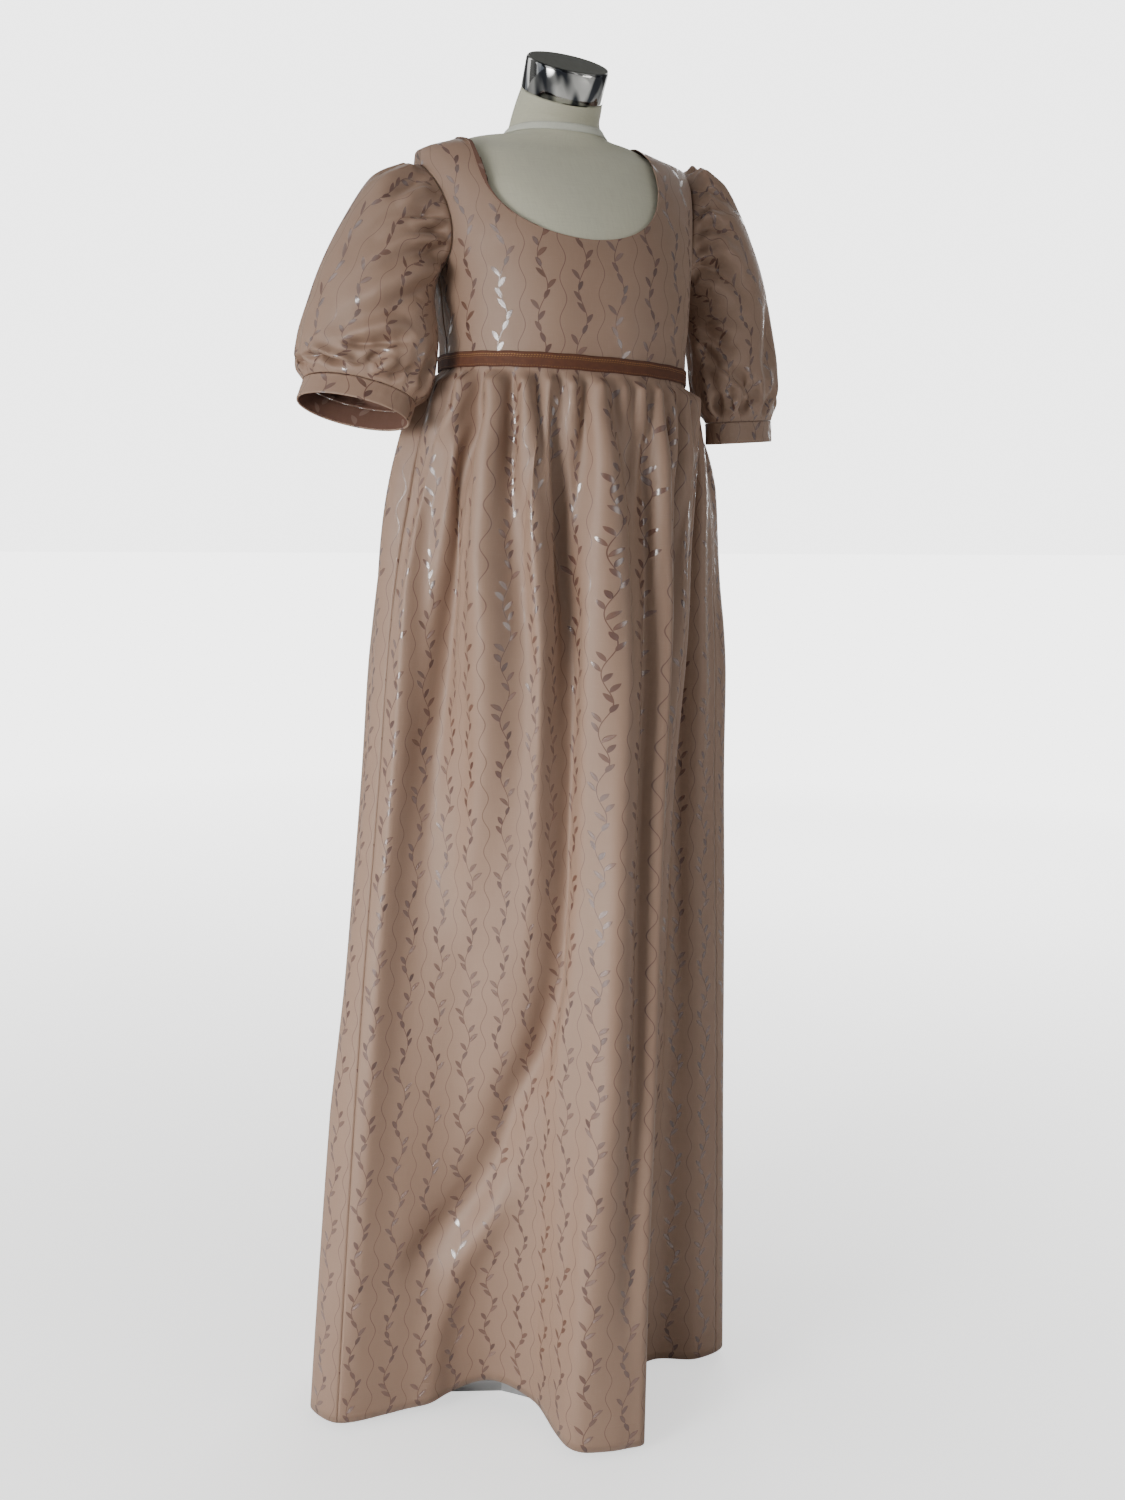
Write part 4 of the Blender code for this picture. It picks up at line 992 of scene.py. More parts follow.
def sleevePoint(hang, share, turnDegrees):
    first = 1.0 / sleeve["steps"]
    gather = sleeveGather(share, turnDegrees)
    if share >= first:
        return sleeveRing(hang, (share - first) / (1.0 - first), turnDegrees, gather)[0]
    edge = armholePoint(hang["side"], turnDegrees)
    ring = sleeveRing(hang, 0.0, turnDegrees, gather)[0]
    return edge.lerp(ring, share / first)


def buildSleeve(hang):
    columns = sleeve["columns"] // 1
    rows = sleeve["rows"] // 1
    points = surfaceGrid(columns, rows, lambda s, t: sleevePoint(hang, t, 360.0 * s))
    turns, shares = np.meshgrid(np.linspace(0, 360, columns + 1), np.linspace(0, 1, rows + 1))
    normals = gridNormals(points, True) * hang["side"]
    push = foldField(hang["creases"], turns / 360.0 * sleeve["girth"], shares * sleeve["fall"],
                     period=sleeve["girth"])
    fade = np.clip(np.minimum(shares * 20.0, (1.0 - shares) * 16.0), 0.0, 1.0)
    points = points + normals * (push * (sleeve["creaseDepth"] * fade))[..., None]
    uvs = np.stack([turns / 360.0 * sleeve["cutWidth"], -shares * sleeve["cutLength"]], axis=-1)
    mesh = gridMesh(points, uvs, closed=True, flip=hang["side"] < 0.0)
    piece = addPiece("sleeve" + hang["name"], mesh, gownCloth,
                     "sleeve_" + hang["name"].lower())
    return addWall(piece, body["cloth"])


def buildCuff(hang):
    columns = sleeve["columns"] // 1
    # down from the seam: a rolled upper edge, a flat band, a rolled lower edge
    profile = ((0.0003, -0.0006), (0.0008, -0.0001), (0.0018, 0.0002), (0.0030, 0.0), (0.006, 0.0),
               (0.010, 0.0001), (0.014, 0.0001), (0.018, 0.0), (0.0215, 0.0002), (0.0232, 0.0002),
               (0.0243, -0.0001), (0.0250, -0.0006))
    points = []
    for drop, roll in profile:
        line = []
        for c in range(columns + 1):
            turn = 360.0 * c / columns
            angle = math.radians(turn)
            pucker = 0.0002 * math.sin(angle * 26.0 + 2.0 * math.sin(angle * 3.0))
            point, down = sleeveRing(hang, 1.0, turn, roll + pucker * (1.0 if drop < 0.005 else 0.3))
            line.append(point + down * drop)
        points.append(line)
    points = np.array(points, float)
    around, falls = np.meshgrid(np.linspace(0, 0.29, columns + 1), [drop for drop, _ in profile])
    uvs = np.stack([around + 0.013, -falls], axis=-1)
    mesh = gridMesh(points, uvs, closed=True, flip=hang["side"] < 0.0)
    piece = addPiece("cuff" + hang["name"], mesh, gownCloth,
                     "cuff_" + hang["name"].lower())
    return addWall(piece, sleeve["cuffWall"])


for hang in sleeveHangs:
    puff = buildSleeve(hang)
    band = buildCuff(hang)
print("sleeves built")


skirt = {
    "columns": 230,
    "rows": 150,
    "hemClearance": 0.010,
    "length": 1.2335,
    "hipPush": 0.007,
    "hipDrop": 0.30,
    "hipReach": 0.12,
    "hipRise": 0.10,
    "gatherStart": 0.0085,
    "gatherRise": 0.015,
    "gatherWidth": 0.54,
    "gatherSpread": 0.20,
    "gatherFadeStart": 0.25,
    "spreadStart": 0.010,
    "leastEase": 0.12,
    "backFolds": 5,
    "backFoldDepth": 0.017,
    "backHalfWidth": 0.262,
    "backDepth": 0.228,
    "backMiddleY": 0.030,
    "backEase": 0.50,
    "backGathers": 12,
    "backGatherStart": 98.0,    # degrees
    "backGatherEnd": 247.0,
    "backGatherDepth": 0.0080,
    "backGatherReach": 0.26,
    "rowCrowding": 1.45,
    "creaseDepth": 2.9,
    "gatherDepth": 2.1,
}
skirtThreads = (        # degrees under the ribbon, place at the hem, lift there, how late it spreads
    (-107.0, -0.278, 0.062, 0.000, 0.45),
    (-92.0, -0.262, 0.024, 0.000, 0.45),
    (-76.0, -0.200, 0.013, 0.002, 0.60),
    (-57.0, -0.120, 0.015, 0.012, 1.10),
    (-40.0, -0.072, 0.002, 0.024, 1.70),
    (-25.0, -0.033, -0.045, 0.015, 1.50),
    (-13.0, -0.024, -0.105, 0.004, 1.00),
    (-2.0, -0.004, -0.140, 0.000, 0.80),
    (13.0, 0.030, -0.156, 0.000, 0.70),
    (27.0, 0.059, -0.152, 0.000, 0.70),
    (36.0, 0.062, -0.084, 0.000, 0.90),
    (48.0, 0.078, -0.060, 0.000, 1.20),
    (61.0, 0.112, -0.006, 0.000, 1.80),
    (72.0, 0.152, 0.006, 0.000, 0.80),
    (83.0, 0.212, -0.017, 0.000, 0.30),
    (95.0, 0.256, -0.004, 0.000, 0.16),
    (107.0, 0.260, 0.056, 0.000, 0.20),
)
frontGathers = (        # degrees under the ribbon, depth, how far down it runs
    (-99.0, 0.0090, 0.34),
    (-84.0, 0.0065, 0.16),
    (-68.0, 0.0100, 0.42),
    (-51.0, 0.0100, 0.60),
    (-36.0, 0.0080, 0.28),
    (-25.0, 0.0070, 0.36),
    (-15.0, 0.0060, 0.14),
    (-4.0, 0.0080, 0.60),
    (5.0, 0.0050, 0.12),
    (13.0, 0.0060, 0.20),
    (22.0, 0.0065, 0.34),
    (33.0, 0.0050, 0.12),
    (45.0, 0.0065, 0.22),
    (57.0, 0.0095, 0.36),
    (70.0, 0.0070, 0.18),
    (84.0, 0.0085, 0.30),
)
# soft folds, listed one by one: millimetres of cloth from the seam and down from the ribbon
skirtFrontCreases = (
    ((117, 24, 10, 0), (93, 57, 12, 3), (62, 87, 14, 4.5), (31, 168, 16, 5), (22, 236, 18, 5),
     (20, 420, 22, 4), (12, 650, 26, 3), (8, 960, 26, 2), (8, 1160, 26, 0)),
    ((150, 36, 9, 0), (117, 97, 12, -4), (99, 156, 14, -6), (88, 250, 18, -7), (80, 360, 22, -6),
     (74, 430, 26, -5), (70, 600, 30, -3), (66, 800, 32, -1.5), (62, 980, 32, 0)),
    ((166, 12, 8, 0), (156, 97, 12, 4), (156, 208, 15, 6), (163, 296, 18, 6), (160, 426, 22, 5),
     (142, 551, 24, 3), (136, 680, 26, 0)),
    ((196, 20, 8, 0), (180, 87, 9, -2.5), (185, 168, 10, -1.5), (190, 280, 12, 0)),
    ((203, 18, 9, 0), (214, 87, 14, 4), (228, 208, 18, 5), (238, 296, 20, 5), (238, 400, 22, 4),
     (234, 560, 24, 3), (214, 720, 26, 0)),
    ((252, 20, 8, 0), (264, 87, 12, -4), (282, 156, 16, -6), (296, 265, 20, -7), (300, 359, 22, -7),
     (300, 443, 22, -7), (294, 569, 24, -7), (276, 685, 24, -7.5), (244, 780, 24, -8),
     (203, 850, 24, -7), (185, 914, 24, -6), (150, 985, 24, -5), (100, 1035, 24, -3.5), (62, 1080, 24, 0)),
    ((210, 960, 20, 0), (176, 1010, 22, 4), (140, 1060, 24, 4.5), (118, 1140, 24, 3.5), (110, 1240, 24, 3)),
    ((327, 12, 10, 0), (345, 76, 12, 3.5), (358, 150, 15, 5), (368, 340, 18, 5.5), (370, 570, 19, 5.5),
     (366, 808, 21, 6), (354, 1000, 24, 5), (336, 1186, 26, 4), (334, 1240, 26, 3.5)),
    ((384, 50, 6, 0), (392, 120, 7, -4), (401, 340, 8, -5), (403, 520, 9, -5), (402, 760, 10, -4.5),
     (396, 1000, 12, -2), (394, 1120, 13, 0)),
    ((400, 30, 7, 0), (406, 90, 8, 3), (416, 236, 9, 4), (420, 460, 10, 4), (422, 626, 11, 3.5),
     (422, 800, 12, 3), (418, 1000, 12, 2), (414, 1240, 12, 2)),
    ((420, 36, 6, 0), (427, 90, 7, -5), (435, 200, 8, -6), (440, 330, 9, -6), (443, 470, 10, -4.5),
     (446, 640, 12, -2), (448, 760, 12, 0)),
    ((440, 24, 7, 0), (446, 90, 9, 4.5), (454, 200, 11, 5), (460, 330, 12, 5), (464, 470, 14, 4),
     (468, 640, 16, 0)),
    ((470, 30, 8, 0), (474, 90, 10, -4), (480, 200, 12, -5), (486, 380, 14, -4), (490, 560, 16, 0)),
    ((500, 24, 8, 0), (508, 90, 11, 3.5), (516, 220, 14, 4), (520, 420, 16, 3), (526, 640, 18, 1.5),
     (530, 900, 20, 0)),
    ((548, 40, 9, 0), (552, 120, 11, -3), (558, 300, 14, -3.5), (562, 520, 16, -2.5), (566, 760, 18, 0)),
    ((588, 30, 9, 0), (590, 110, 12, 2.5), (596, 330, 15, 3), (604, 640, 18, 3), (610, 900, 20, 2),
     (612, 1180, 20, 1.5), (612, 1240, 20, 1.5)),
    ((628, 60, 9, 0), (632, 160, 12, -3), (638, 380, 15, -3), (644, 640, 16, -2), (648, 860, 18, 0)),
    ((668, 30, 8, 0), (672, 120, 11, 2.5), (676, 340, 14, 2.5), (680, 560, 14, 0)),
)
skirtBackCreases = (
    ((32, 30, 9, 0), (34, 120, 12, 3), (38, 340, 16, 3.5), (44, 620, 20, 2.5), (48, 900, 22, 0)),
    ((74, 24, 9, 0), (76, 110, 12, -4), (82, 300, 16, -4.5), (90, 560, 20, -3), (96, 820, 22, 0)),
    ((118, 20, 9, 0), (120, 90, 12, 3.5), (126, 260, 16, 5), (136, 560, 20, 4), (146, 880, 24, 3),
     (150, 1240, 26, 3)),
    ((168, 30, 8, 0), (170, 120, 12, -3.5), (178, 330, 15, -4.5), (190, 620, 20, -4), (200, 930, 24, 0)),
    ((214, 22, 9, 0), (216, 100, 11, 3), (222, 260, 14, 3), (228, 420, 16, 0)),
    ((258, 24, 9, 0), (262, 120, 12, -4), (266, 330, 16, -5.5), (268, 640, 20, -5), (262, 960, 24, -3),
     (256, 1240, 26, -2)),
    ((306, 20, 9, 0), (308, 100, 12, 4), (312, 300, 16, 5), (318, 620, 20, 3.5), (326, 820, 22, 0)),
    ((352, 30, 9, 0), (354, 90, 11, -3), (358, 240, 14, -3.5), (362, 400, 16, 0)),
    ((398, 20, 9, 0), (398, 100, 12, 3.5), (396, 300, 16, 5), (390, 640, 22, 5), (380, 980, 26, 4),
     (376, 1240, 28, 3.5)),
    ((446, 24, 9, 0), (446, 120, 12, -4), (444, 330, 16, -5.5), (438, 660, 20, -5), (430, 960, 22, 0)),
    ((488, 20, 9, 0), (490, 90, 11, 3), (492, 260, 14, 4), (494, 500, 18, 3), (490, 740, 20, 0)),
    ((530, 26, 9, 0), (532, 120, 12, -3.5), (534, 300, 15, -3.5), (540, 470, 16, 0)),
    ((574, 20, 9, 0), (576, 110, 12, 4), (578, 330, 16, 5.5), (574, 660, 20, 5), (566, 940, 24, 3),
     (560, 1240, 26, 3)),
    ((622, 26, 9, 0), (622, 120, 12, -4), (620, 340, 16, -5), (614, 640, 20, -4), (606, 900, 22, 0)),
    ((666, 20, 9, 0), (664, 90, 11, 3), (660, 240, 14, 3), (656, 400, 16, 0)),
    ((706, 24, 9, 0), (704, 120, 12, -3.5), (698, 340, 16, -5), (690, 660, 20, -5), (680, 980, 24, -3),
     (676, 1240, 26, -2)),
    ((750, 20, 9, 0), (748, 100, 12, 3.5), (742, 300, 16, 4.5), (732, 600, 20, 4), (722, 840, 22, 0)),
    ((796, 26, 9, 0), (794, 110, 12, -3), (790, 280, 14, -4), (784, 520, 18, -3), (778, 700, 20, 0)),
    ((838, 20, 9, 0), (836, 100, 12, 3), (832, 320, 16, 4.5), (826, 640, 20, 4), (820, 960, 22, 2.5),
     (818, 1240, 24, 2)),
    ((884, 26, 9, 0), (882, 120, 12, -3), (880, 340, 16, -4), (876, 620, 18, -3), (872, 860, 20, 0)),
)


def skirtSetup():
    threads = list(skirtThreads)
    first, last = threads[-1][0], threads[0][0] + 360.0
    count = 2 * skirt["backFolds"]
    for number in range(1, count + 1):
        degrees = first + (last - first) * number / (count + 1)
        wave = skirt["backFoldDepth"] * (1.0 if number % 2 else -1.0)
        angle = math.radians(degrees)
        threads.append((degrees, (skirt["backHalfWidth"] + wave) * math.sin(angle),
                        skirt["backMiddleY"] - (skirt["backDepth"] + wave) * math.cos(angle),
                        0.0, skirt["backEase"]))
    knots = [0.0]
    for before, after in zip(threads, threads[1:] + threads[:1]):
        knots.append(knots[-1] + math.hypot(after[1] - before[1], after[2] - before[2]))
    columns = [[thread[k] for thread in threads] + [threads[0][k]] for k in range(5)]
    columns[0][-1] += 360.0
    rows = [list(row) for row in frontGathers]
    step = (skirt["backGatherEnd"] - skirt["backGatherStart"]) / (skirt["backGathers"] - 1)
    for number in range(skirt["backGathers"]):
        rows.append([skirt["backGatherStart"] + step * number + 2.2 * math.sin(2.4 * number),
                     skirt["backGatherDepth"] * (1.0 + 0.25 * math.sin(1.7 * number)),
                     skirt["backGatherReach"] * (1.0 + 0.5 * math.sin(2.9 * number))])
    rows.sort()
    for number, row in enumerate(rows):
        before = rows[number - 1][0] - (360.0 if number == 0 else 0.0)
        after = rows[(number + 1) % len(rows)][0] + (360.0 if number == len(rows) - 1 else 0.0)
        row.append((after - before) / 2.0)
    return knots, columns, rows


skirtKnots, skirtColumns, skirtGathers = skirtSetup()


def threadAt(place):
    # what one thread of cloth needs on its way down: its top, its hem, its lift and its ease
    degrees, hemX, hemY, lift, ease = (roundCurve(skirtKnots, column, place)
                                       for column in skirtColumns)
    top = sectionPoint(sectionAt(bodiceSections, body["waist"]), degrees)
    top.z = waistHeight(degrees) - body["seamGap"]
    hem = Vector((body["axisX"] + hemX, body["axisY"] + hemY, skirt["hemClearance"] + max(lift, 0.0)))
    return degrees, top, hem, max(ease, skirt["leastEase"])


def threadPoint(thread, drop):
    degrees, top, hem, ease = thread
    fall = max(drop - skirt["gatherStart"], 0.0) / (skirt["length"] - skirt["gatherStart"])
    start = skirt["spreadStart"]
    spread = ((fall + start) ** ease - start ** ease) / ((1.0 + start) ** ease - start ** ease)
    return Vector((top.x + (hem.x - top.x) * spread, top.y + (hem.y - top.y) * spread,
                   top.z + (hem.z - top.z) * drop / skirt["length"]))


def gatherPush(degrees, drop):
    push = 0.0
    for at, depth, reach, pitch in skirtGathers:
        away = abs((degrees - at + 180.0) % 360.0 - 180.0)
        width = pitch * skirt["gatherWidth"] * (1.0 + drop / skirt["gatherSpread"])
        if away < width:
            faded = (drop / reach - skirt["gatherFadeStart"]) / (1.0 - skirt["gatherFadeStart"])
            push += depth * (1.0 - smoothstep(faded)) * math.cos(0.5 * math.pi * away / width) ** 2
    fade = smoothstep((drop - skirt["gatherStart"]) / skirt["gatherRise"])
    return push * skirt["gatherDepth"] * fade


def placeOfAngle(degrees):
    low, high = 0.0, skirtKnots[-1]
    for _ in range(40):
        middle = (low + high) / 2.0
        if roundCurve(skirtKnots, skirtColumns[0], middle) < degrees:
            low = middle
        else:
            high = middle
    return low


def buildSkirtPanel(name, node, start, end, creases):
    columns = skirt["columns"] // 1
    rows = skirt["rows"] // 1
    # rows crowd towards the gathers under the ribbon
    drops = [skirt["length"] * (r / rows) ** skirt["rowCrowding"] for r in range(rows + 1)][::-1]
    points = np.zeros((rows + 1, columns + 1, 3))
    for c in range(columns + 1):
        place = start + (end - start) * c / columns
        thread, ahead, behind = threadAt(place), threadAt(place + 0.006), threadAt(place - 0.006)
        for r, drop in enumerate(drops):
            across = threadPoint(ahead, drop) - threadPoint(behind, drop)
            outwards = Vector((across.y, -across.x, 0.0)).normalized()
            hips = skirt["hipPush"] * math.exp(-((drop - skirt["hipDrop"]) / skirt["hipReach"]) ** 2)
            hips *= smoothstep(drop / skirt["hipRise"])
            points[r, c] = threadPoint(thread, drop) + outwards * (gatherPush(thread[0], drop) + hips)
    across, down = np.meshgrid(np.linspace(0.0, end - start, columns + 1), np.array(drops))
    # the folds fade out at the side seams and under the ribbon
    push = foldField(creases, across, down)
    push *= np.clip(np.minimum(across, end - start - across) / 0.02, 0.0, 1.0)
    push *= skirt["creaseDepth"] * np.clip((down - skirt["gatherStart"]) / 0.02, 0.0, 1.0)
    points = points + gridNormals(points, False) * push[..., None]
    uvs = np.stack([across + start, skirt["length"] - down], axis=-1)
    piece = addPiece(name, gridMesh(points, uvs), skirtCloth, node)
    return addWall(piece, body["cloth"])


rightSeam, leftSeam = placeOfAngle(-90.0), placeOfAngle(90.0)
seamHalf = body["seamGap"] / 2.0
skirtFront = buildSkirtPanel("skirtFront", "skirt_front", rightSeam + seamHalf, leftSeam - seamHalf,
                             skirtFrontCreases)
skirtBack = buildSkirtPanel("skirtBack", "skirt_back", leftSeam + seamHalf,
                            rightSeam + skirtKnots[-1] - seamHalf, skirtBackCreases)
print("skirt built")


ribbon = {
    "width": 0.016,
    "wall": 0.0010,
    "lift": 0.0008,
    "leastOut": 0.0016,
    "ripple": 0.00022,
    "wander": 0.00025,
    "splitDegrees": 0.06,
    "columns": 420,
    "rows": 10,
}


def buildRibbon():
    section = sectionAt(bodiceSections, body["waist"])
    first, last = ribbon["splitDegrees"] - 180.0, 180.0 - ribbon["splitDegrees"]
    columns = ribbon["columns"] // 1
    points, marks = [], []
    for r in range(ribbon["rows"] + 1):
        rise = r / ribbon["rows"]
        line, row = [], []
        for c in range(columns + 1):
            degrees = first + (last - first) * c / columns
            point = sectionPoint(section, degrees)
            ahead = sectionPoint(section, degrees + 1.0) - sectionPoint(section, degrees - 1.0)
            angle = math.radians(degrees)
            ripple = ribbon["ripple"] * math.sin(angle * 41.0 + 1.7 * math.sin(angle * 7.0))
            out = ribbon["lift"] + ribbon["wall"] + ripple * (1.0 - rise * 0.6)
            point += Vector((ahead.y, -ahead.x, 0.0)).normalized() * max(out, ribbon["leastOut"])
            wavy = ribbon["wander"] * math.sin(angle * 23.0 + 0.8)
            point.z = waistHeight(degrees) + ribbon["width"] * (rise - 0.5) + wavy
            line.append(point)
            row.append((arcAt(degrees, body["waist"]), rise))
        points.append(line)
        marks.append(row)
    mesh = gridMesh(np.array(points, float), np.array(marks, float))
    piece = addPiece("waistRibbon", mesh, ribbonCloth, "waist_ribbon")
    return addWall(piece, ribbon["wall"])


waistRibbon = buildRibbon()
print("ribbon built")


form = {
    "columns": 120,
    "rowsBetween": 7,
    "capRadius": 0.0460,
    "capLength": 0.034,
    "capTilt": 27.0,
    "capFootY": 0.0066,
    "capFoot": 1.5430,
    "tapeLow": 1.4990,
    "tapeHigh": 1.5075,
    "tapeWall": 0.0009,
    "tapeLift": 0.0007,
}
formSections = (        # height, half width, front, side, back
    (0.8700, 0.1000, -0.0700, 0.010, 0.0850),
    (0.8850, 0.1240, -0.0870, 0.010, 0.1010),
    (0.9500, 0.1370, -0.0970, 0.010, 0.1120),
    (1.0500, 0.1270, -0.0950, 0.005, 0.0970),
    (1.1300, 0.1120, -0.0880, 0.000, 0.0820),
    (1.2000, 0.1220, -0.1040, -0.004, 0.0960),
    (1.2435, 0.1300, -0.1160, -0.006, 0.1040),
    (1.2900, 0.1345, -0.1240, -0.004, 0.1080),
    (1.3300, 0.1370, -0.1235, 0.000, 0.1105),
    (1.3710, 0.1430, -0.1155, 0.006, 0.1130),
    (1.4000, 0.1480, -0.1012, 0.012, 0.1095),
    (1.4260, 0.1520, -0.0840, 0.018, 0.1010),
    (1.4490, 0.1540, -0.0645, 0.024, 0.0915),
    (1.4690, 0.1490, -0.0460, 0.028, 0.0825),
    (1.4825, 0.1200, -0.0305, 0.032, 0.0765),
    (1.4915, 0.0990, -0.0245, 0.035, 0.0745),
    (1.4950, 0.0750, -0.0235, 0.032, 0.0745),
    (1.5000, 0.0580, -0.0230, 0.0285, 0.0760),
    (1.5080, 0.0510, -0.0225, 0.027, 0.0755),
)
neckRings = (           # middle y, height, radius, tilt
    (0.0240, 1.5190, 0.0492, 9.0),
    (0.0160, 1.5310, 0.0475, 18.0),
    (0.0067, 1.5427, 0.0455, 27.0),
)


def tiltedPoint(y, height, radius, tilt, turnDegrees):
    lean, angle = math.radians(tilt), math.radians(turnDegrees)
    across, ahead = radius * math.sin(angle), radius * math.cos(angle)
    return Vector((body["axisX"] + across, body["axisY"] + y - ahead * math.cos(lean),
                   height - ahead * math.sin(lean)))


def formPoint(level, turnDegrees):
    # level counts the sections from the hips up and goes on through the neck's rings
    sections = len(formSections)
    rings = sections + len(neckRings)

    def ringPoint(index):
        if index < sections:
            return sectionPoint(formSections[index], turnDegrees)
        return tiltedPoint(*neckRings[index - sections], turnDegrees)

    points = [ringPoint(i) for i in range(rings)]
    knots = list(range(rings))
    return Vector([along(knots, [p[k] for p in points], level) for k in range(3)])


def closeRing(mesh, atTop):
    # fills an open end with a fan of rings that meet in a point
    height = (max if atTop else min)(v.co.z for e in mesh.edges if e.is_boundary for v in e.verts)
    ring = [e for e in mesh.edges if e.is_boundary and abs(e.verts[0].co.z - height) < 0.04]
    for scale in (0.86, 0.5):
        made = bmesh.ops.extrude_edge_only(mesh, edges=ring)["geom"]
        verts = [v for v in made if isinstance(v, bmesh.types.BMVert)]
        ring = [e for e in made if isinstance(e, bmesh.types.BMEdge)]
        middle = sum((v.co for v in verts), Vector()) / len(verts)
        for v in verts:
            v.co = middle + (v.co - middle) * scale
    bmesh.ops.edgeloop_fill(mesh, edges=ring)
    bmesh.ops.recalc_face_normals(mesh, faces=mesh.faces[:])


def buildForm():
    columns = form["columns"] // 1
    levels = len(formSections) + len(neckRings) - 1
    rows = levels * form["rowsBetween"]
    points = surfaceGrid(columns, rows, lambda s, t: formPoint(t * levels, 360.0 * s))
    turns = np.linspace(0.0, 0.62, columns + 1)[None, :].repeat(rows + 1, axis=0)
    uvs = np.stack([turns, points[..., 2]], axis=-1)
    mesh = gridMesh(points, uvs, closed=True)
    closeRing(mesh, True)
    closeRing(mesh, False)
    return addPiece("formTorso", mesh, formLinen, "form_torso")


def buildTape():
    columns = form["columns"]
    out = form["tapeLift"] + form["tapeWall"]
    rolls = (-0.0004, 0.0, 0.0, 0.0, -0.0004)
    points = []
    for r, roll in enumerate(rolls):
        height = form["tapeLow"] + (form["tapeHigh"] - form["tapeLow"]) * r / (len(rolls) - 1)
        points.append([bodyPoint(formSections, 360.0 * c / columns, height, out + roll)
                       for c in range(columns + 1)])
    points = np.array(points, float)
    turns = np.linspace(0.0, 0.33, columns + 1)[None, :].repeat(len(rolls), axis=0)
    uvs = np.stack([turns, points[..., 2]], axis=-1)
    mesh = gridMesh(points, uvs, closed=True)
    piece = addPiece("neckTape", mesh, tapeLinen, "neck_tape")
    return addWall(piece, form["tapeWall"] * 0.9)


def buildCap():
    # a turned drum with softly rounded rims, leaning forward on the neck
    lean = math.radians(form["capTilt"])
    axis = Vector((0.0, -math.sin(lean), math.cos(lean)))
    foot = Vector((body["axisX"], body["axisY"] + form["capFootY"], form["capFoot"]))
    radius, length = form["capRadius"], form["capLength"]
    profile = ((0.0003, 0.0), (0.0003, radius - 0.0016), (0.0006, radius - 0.0006),
               (0.0016, radius), (length - 0.0036, radius), (length - 0.0016, radius - 0.0004),
               (length - 0.0004, radius - 0.0016), (length, radius - 0.0032), (length, 0.0))
    front = Vector((0.0, -math.cos(lean), -math.sin(lean)))
    mesh = bmesh.new()
    verts = [mesh.verts.new(foot + axis * rise + front * out) for rise, out in profile]
    edges = [mesh.edges.new(pair) for pair in zip(verts, verts[1:])]
    bmesh.ops.spin(mesh, geom=verts + edges, cent=foot, axis=axis, angle=2.0 * math.pi, steps=128,
                   use_merge=True)
    bmesh.ops.remove_doubles(mesh, verts=mesh.verts[:], dist=1e-6)
    bmesh.ops.recalc_face_normals(mesh, faces=mesh.faces[:])
    piece = addPiece("neckCap", mesh, chromeSide, "neck_cap")
    piece.data.materials.append(chromeTop)
    for face in piece.data.polygons:
        if face.normal.dot(axis) > 0.93:
            face.material_index = 1
            face.use_smooth = False


formTorso = buildForm()
neckTape = buildTape()
buildCap()
for name in ("stand_pole", "stand_base"):
    nodes[name].data.materials.clear()
    nodes[name].data.materials.append(standSteel)
print("dress form built")


studio = {
    "azimuth": -24.0,
    "distance": 1.8,
    "height": 1.10,
    "pitch": 9.0,
    "roll": 1.0,
    "lens": 37.44,
    "shiftX": 0.0063,
    "white": 4.0,
    "wall": (0.93, 0.93, 0.93, 1.0),
    "air": (0.98, 0.98, 0.97, 1.0),
    "floorDark": (0.80, 0.80, 0.79, 1.0),
    "floorLight": (0.84, 0.84, 0.83, 1.0),
    # middle and half width in degrees round from the front, strength
    "panes": ((-100.0, 13.0, 1.9), (-66.0, 11.0, 1.5), (-34.0, 3.0, 0.8), (6.0, 5.0, 0.5),
              (38.0, 7.0, 0.6), (84.0, 5.0, 0.5), (128.0, 12.0, 1.3), (165.0, 9.0, 1.2),
              (-150.0, 10.0, 1.4)),
    # name, place, aim, size, spread in degrees, watts, colour
    "lights": (
        ("windowKey", (-2.6, -1.05, 0.90), (0.0, -0.1, 0.52), (1.0, 1.4), 56.0, 12.0,
         (1.0, 0.99, 0.97)),
        ("highWindow", (-2.2, -1.8, 2.4), (0.0, 0.0, 0.9), (1.4, 1.0), 180.0, 3.0,
         (1.0, 0.99, 0.97)),
        ("frontFill", (2.0, -2.8, 1.1), (0.0, 0.0, 0.9), (1.6, 1.6), 180.0, 17.0,
         (1.0, 0.97, 0.94)),
        ("backFill", (1.8, 2.4, 2.0), (0.0, 0.0, 0.8), (1.8, 2.0), 180.0, 50.0,
         (0.98, 0.98, 1.0)),
    ),
}


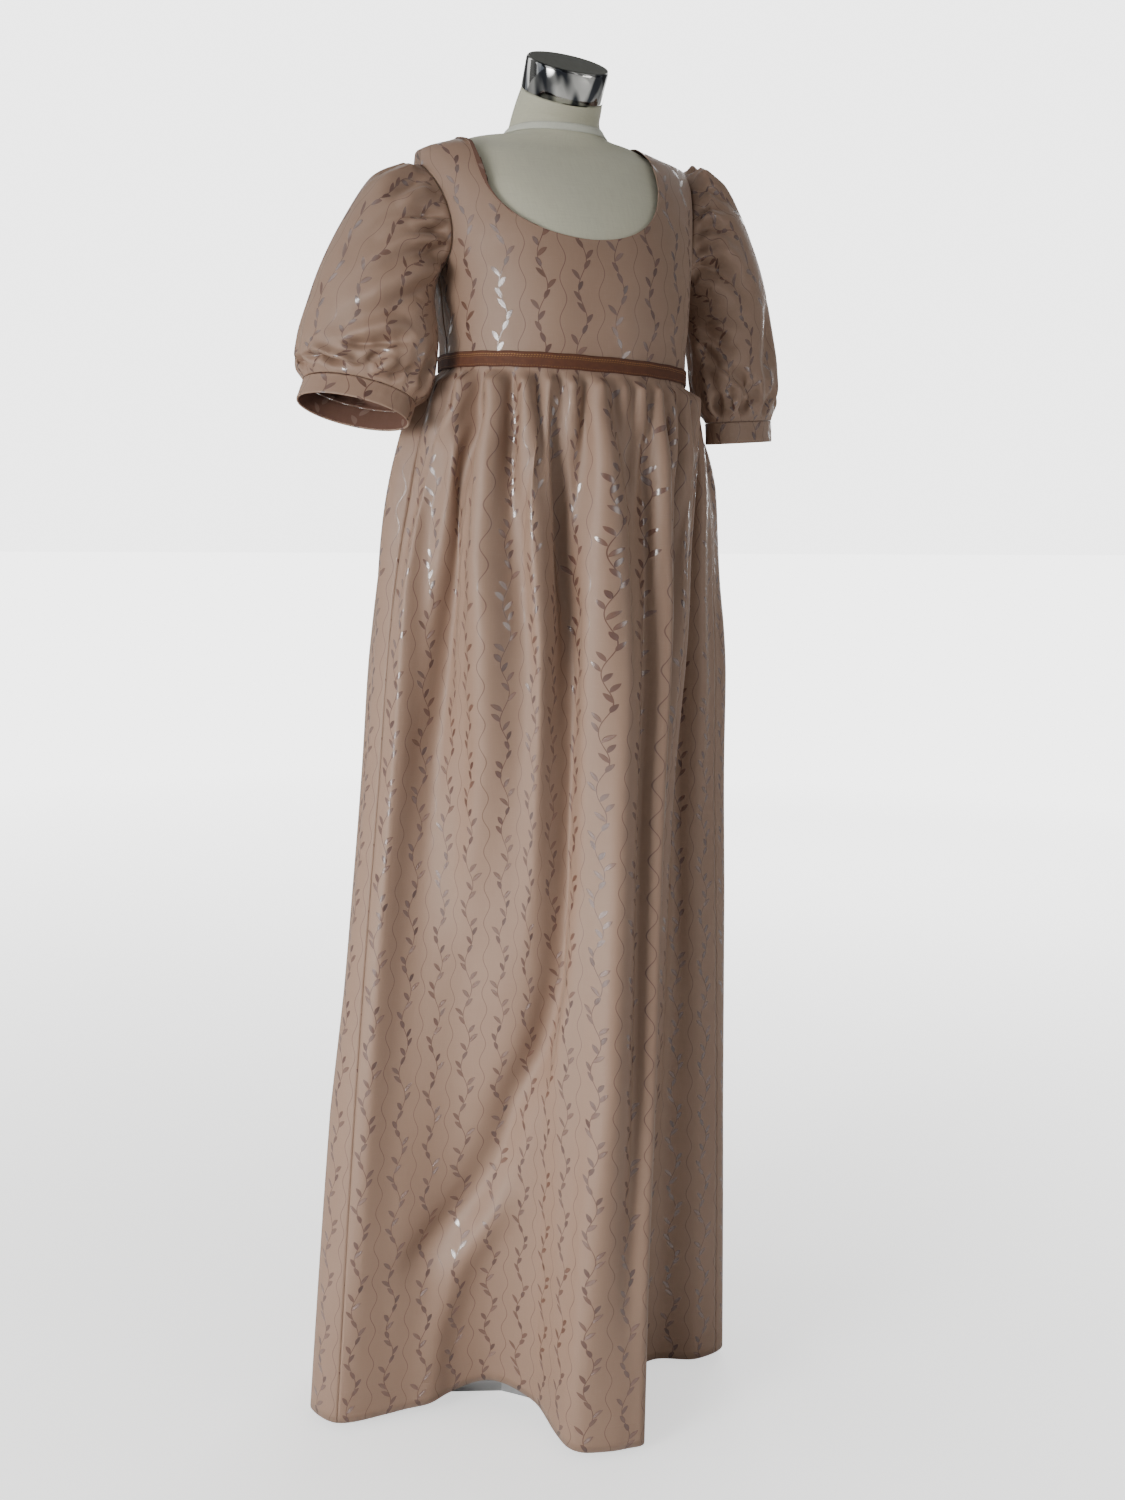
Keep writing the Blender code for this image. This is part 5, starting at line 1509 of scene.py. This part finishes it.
def buildFloor():
    mesh = bmesh.new()
    bmesh.ops.create_grid(mesh, x_segments=1, y_segments=1, size=30.0)
    floor = newObject("studioFloor", finishMesh("studioFloor", mesh))
    paint, build, shader = newMaterial("paleFloor")
    place = build.add("ShaderNodeTexCoord").outputs["Object"]
    shader.inputs["Roughness"].default_value = 0.9
    build.join(build.mix(build.noise(place, 3.0), studio["floorDark"], studio["floorLight"]),
               shader.inputs["Base Color"])
    # painted glow, seen by the camera only: the floor glows least near the gown and pales into the room's
    # white away from it
    distance = build.add("ShaderNodeVectorMath", operation="LENGTH")
    build.join(place, distance.inputs[0])
    pale = build.math("DIVIDE", distance.outputs["Value"], 4.5, clamp=True)
    pale = build.math("MULTIPLY_ADD", pale, studio["white"] - 1.2, 1.0)
    glow = build.add("ShaderNodeEmission")
    seenOnly = build.add("ShaderNodeLightPath").outputs["Is Camera Ray"]
    build.join(build.math("MULTIPLY", seenOnly, pale), glow.inputs["Strength"])
    both = build.add("ShaderNodeAddShader")
    build.join(shader.outputs[0], both.inputs[0])
    build.join(glow.outputs[0], both.inputs[1])
    build.join(both.outputs[0], paint.node_tree.nodes["Material Output"].inputs["Surface"])
    floor.data.materials.append(paint)


def buildRoom():
    world = bpy.data.worlds.new("paleRoom")
    bpy.context.scene.world = world
    world.use_nodes = True
    build = Nodes(world.node_tree)
    m = build.math
    seen = world.node_tree.nodes["Background"]
    seen.inputs["Color"].default_value = studio["wall"]
    seen.inputs["Strength"].default_value = studio["white"]
    room = build.add("ShaderNodeBackground")
    room.inputs["Color"].default_value = studio["air"]
    x, y, z = build.split(build.add("ShaderNodeTexCoord").outputs["Generated"])
    # degrees round from the front, and tall panes of light between darker walls
    around = m("MULTIPLY", m("ARCTAN2", x, m("MULTIPLY", y, -1.0)), 180.0 / math.pi)
    light = 0.0
    for at, half, strength in studio["panes"]:
        away = m("ABSOLUTE", m("SUBTRACT", around, at))
        pane = m("DIVIDE", m("SUBTRACT", half, away), 2.0, clamp=True)
        light = m("MULTIPLY_ADD", pane, strength, light)
    fromMiddle = m("ABSOLUTE", m("SUBTRACT", z, 0.30))
    tall = m("DIVIDE", m("SUBTRACT", 0.52, fromMiddle), 0.06, clamp=True)
    above = m("MULTIPLY_ADD", z, 0.07, 0.14)
    build.join(m("MULTIPLY_ADD", light, tall, above), room.inputs["Strength"])
    mixer = build.add("ShaderNodeMixShader")
    build.join(build.add("ShaderNodeLightPath").outputs["Is Camera Ray"], mixer.inputs[0])
    build.join(room.outputs[0], mixer.inputs[1])
    build.join(seen.outputs[0], mixer.inputs[2])
    build.join(mixer.outputs[0], world.node_tree.nodes["World Output"].inputs["Surface"])


def buildLights():
    for name, place, aim, size, spread, power, colour in studio["lights"]:
        light = bpy.data.lights.new(name, "AREA")
        light.shape = "RECTANGLE"
        light.size, light.size_y = size
        light.spread = math.radians(spread)
        light.energy = power
        light.color = colour
        lamp = newObject(name, light)
        lamp.location = place
        lamp.rotation_euler = (Vector(aim) - Vector(place)).to_track_quat("-Z", "Y").to_euler()


def buildCamera():
    camera = bpy.data.cameras.new("photoCamera")
    camera.sensor_width = 36.0
    camera.lens = studio["lens"]
    camera.shift_x = studio["shiftX"]
    camera.clip_start, camera.clip_end = 0.05, 60.0
    eye = newObject("photoCamera", camera)
    turn, pitch, roll = (math.radians(studio[k]) for k in ("azimuth", "pitch", "roll"))
    ahead = Vector((-math.sin(turn) * math.cos(pitch), math.cos(turn) * math.cos(pitch),
                    -math.sin(pitch)))
    eye.location = (body["axisX"] + studio["distance"] * math.sin(turn),
                    body["axisY"] - studio["distance"] * math.cos(turn), studio["height"])
    eye.rotation_mode = "QUATERNION"
    eye.rotation_quaternion = ahead.to_track_quat("-Z", "Y") @ Quaternion((0.0, 0.0, 1.0), roll)
    bpy.context.scene.camera = eye


buildFloor()
buildRoom()
buildLights()
buildCamera()
print("studio built")

bpy.context.view_layer.update()
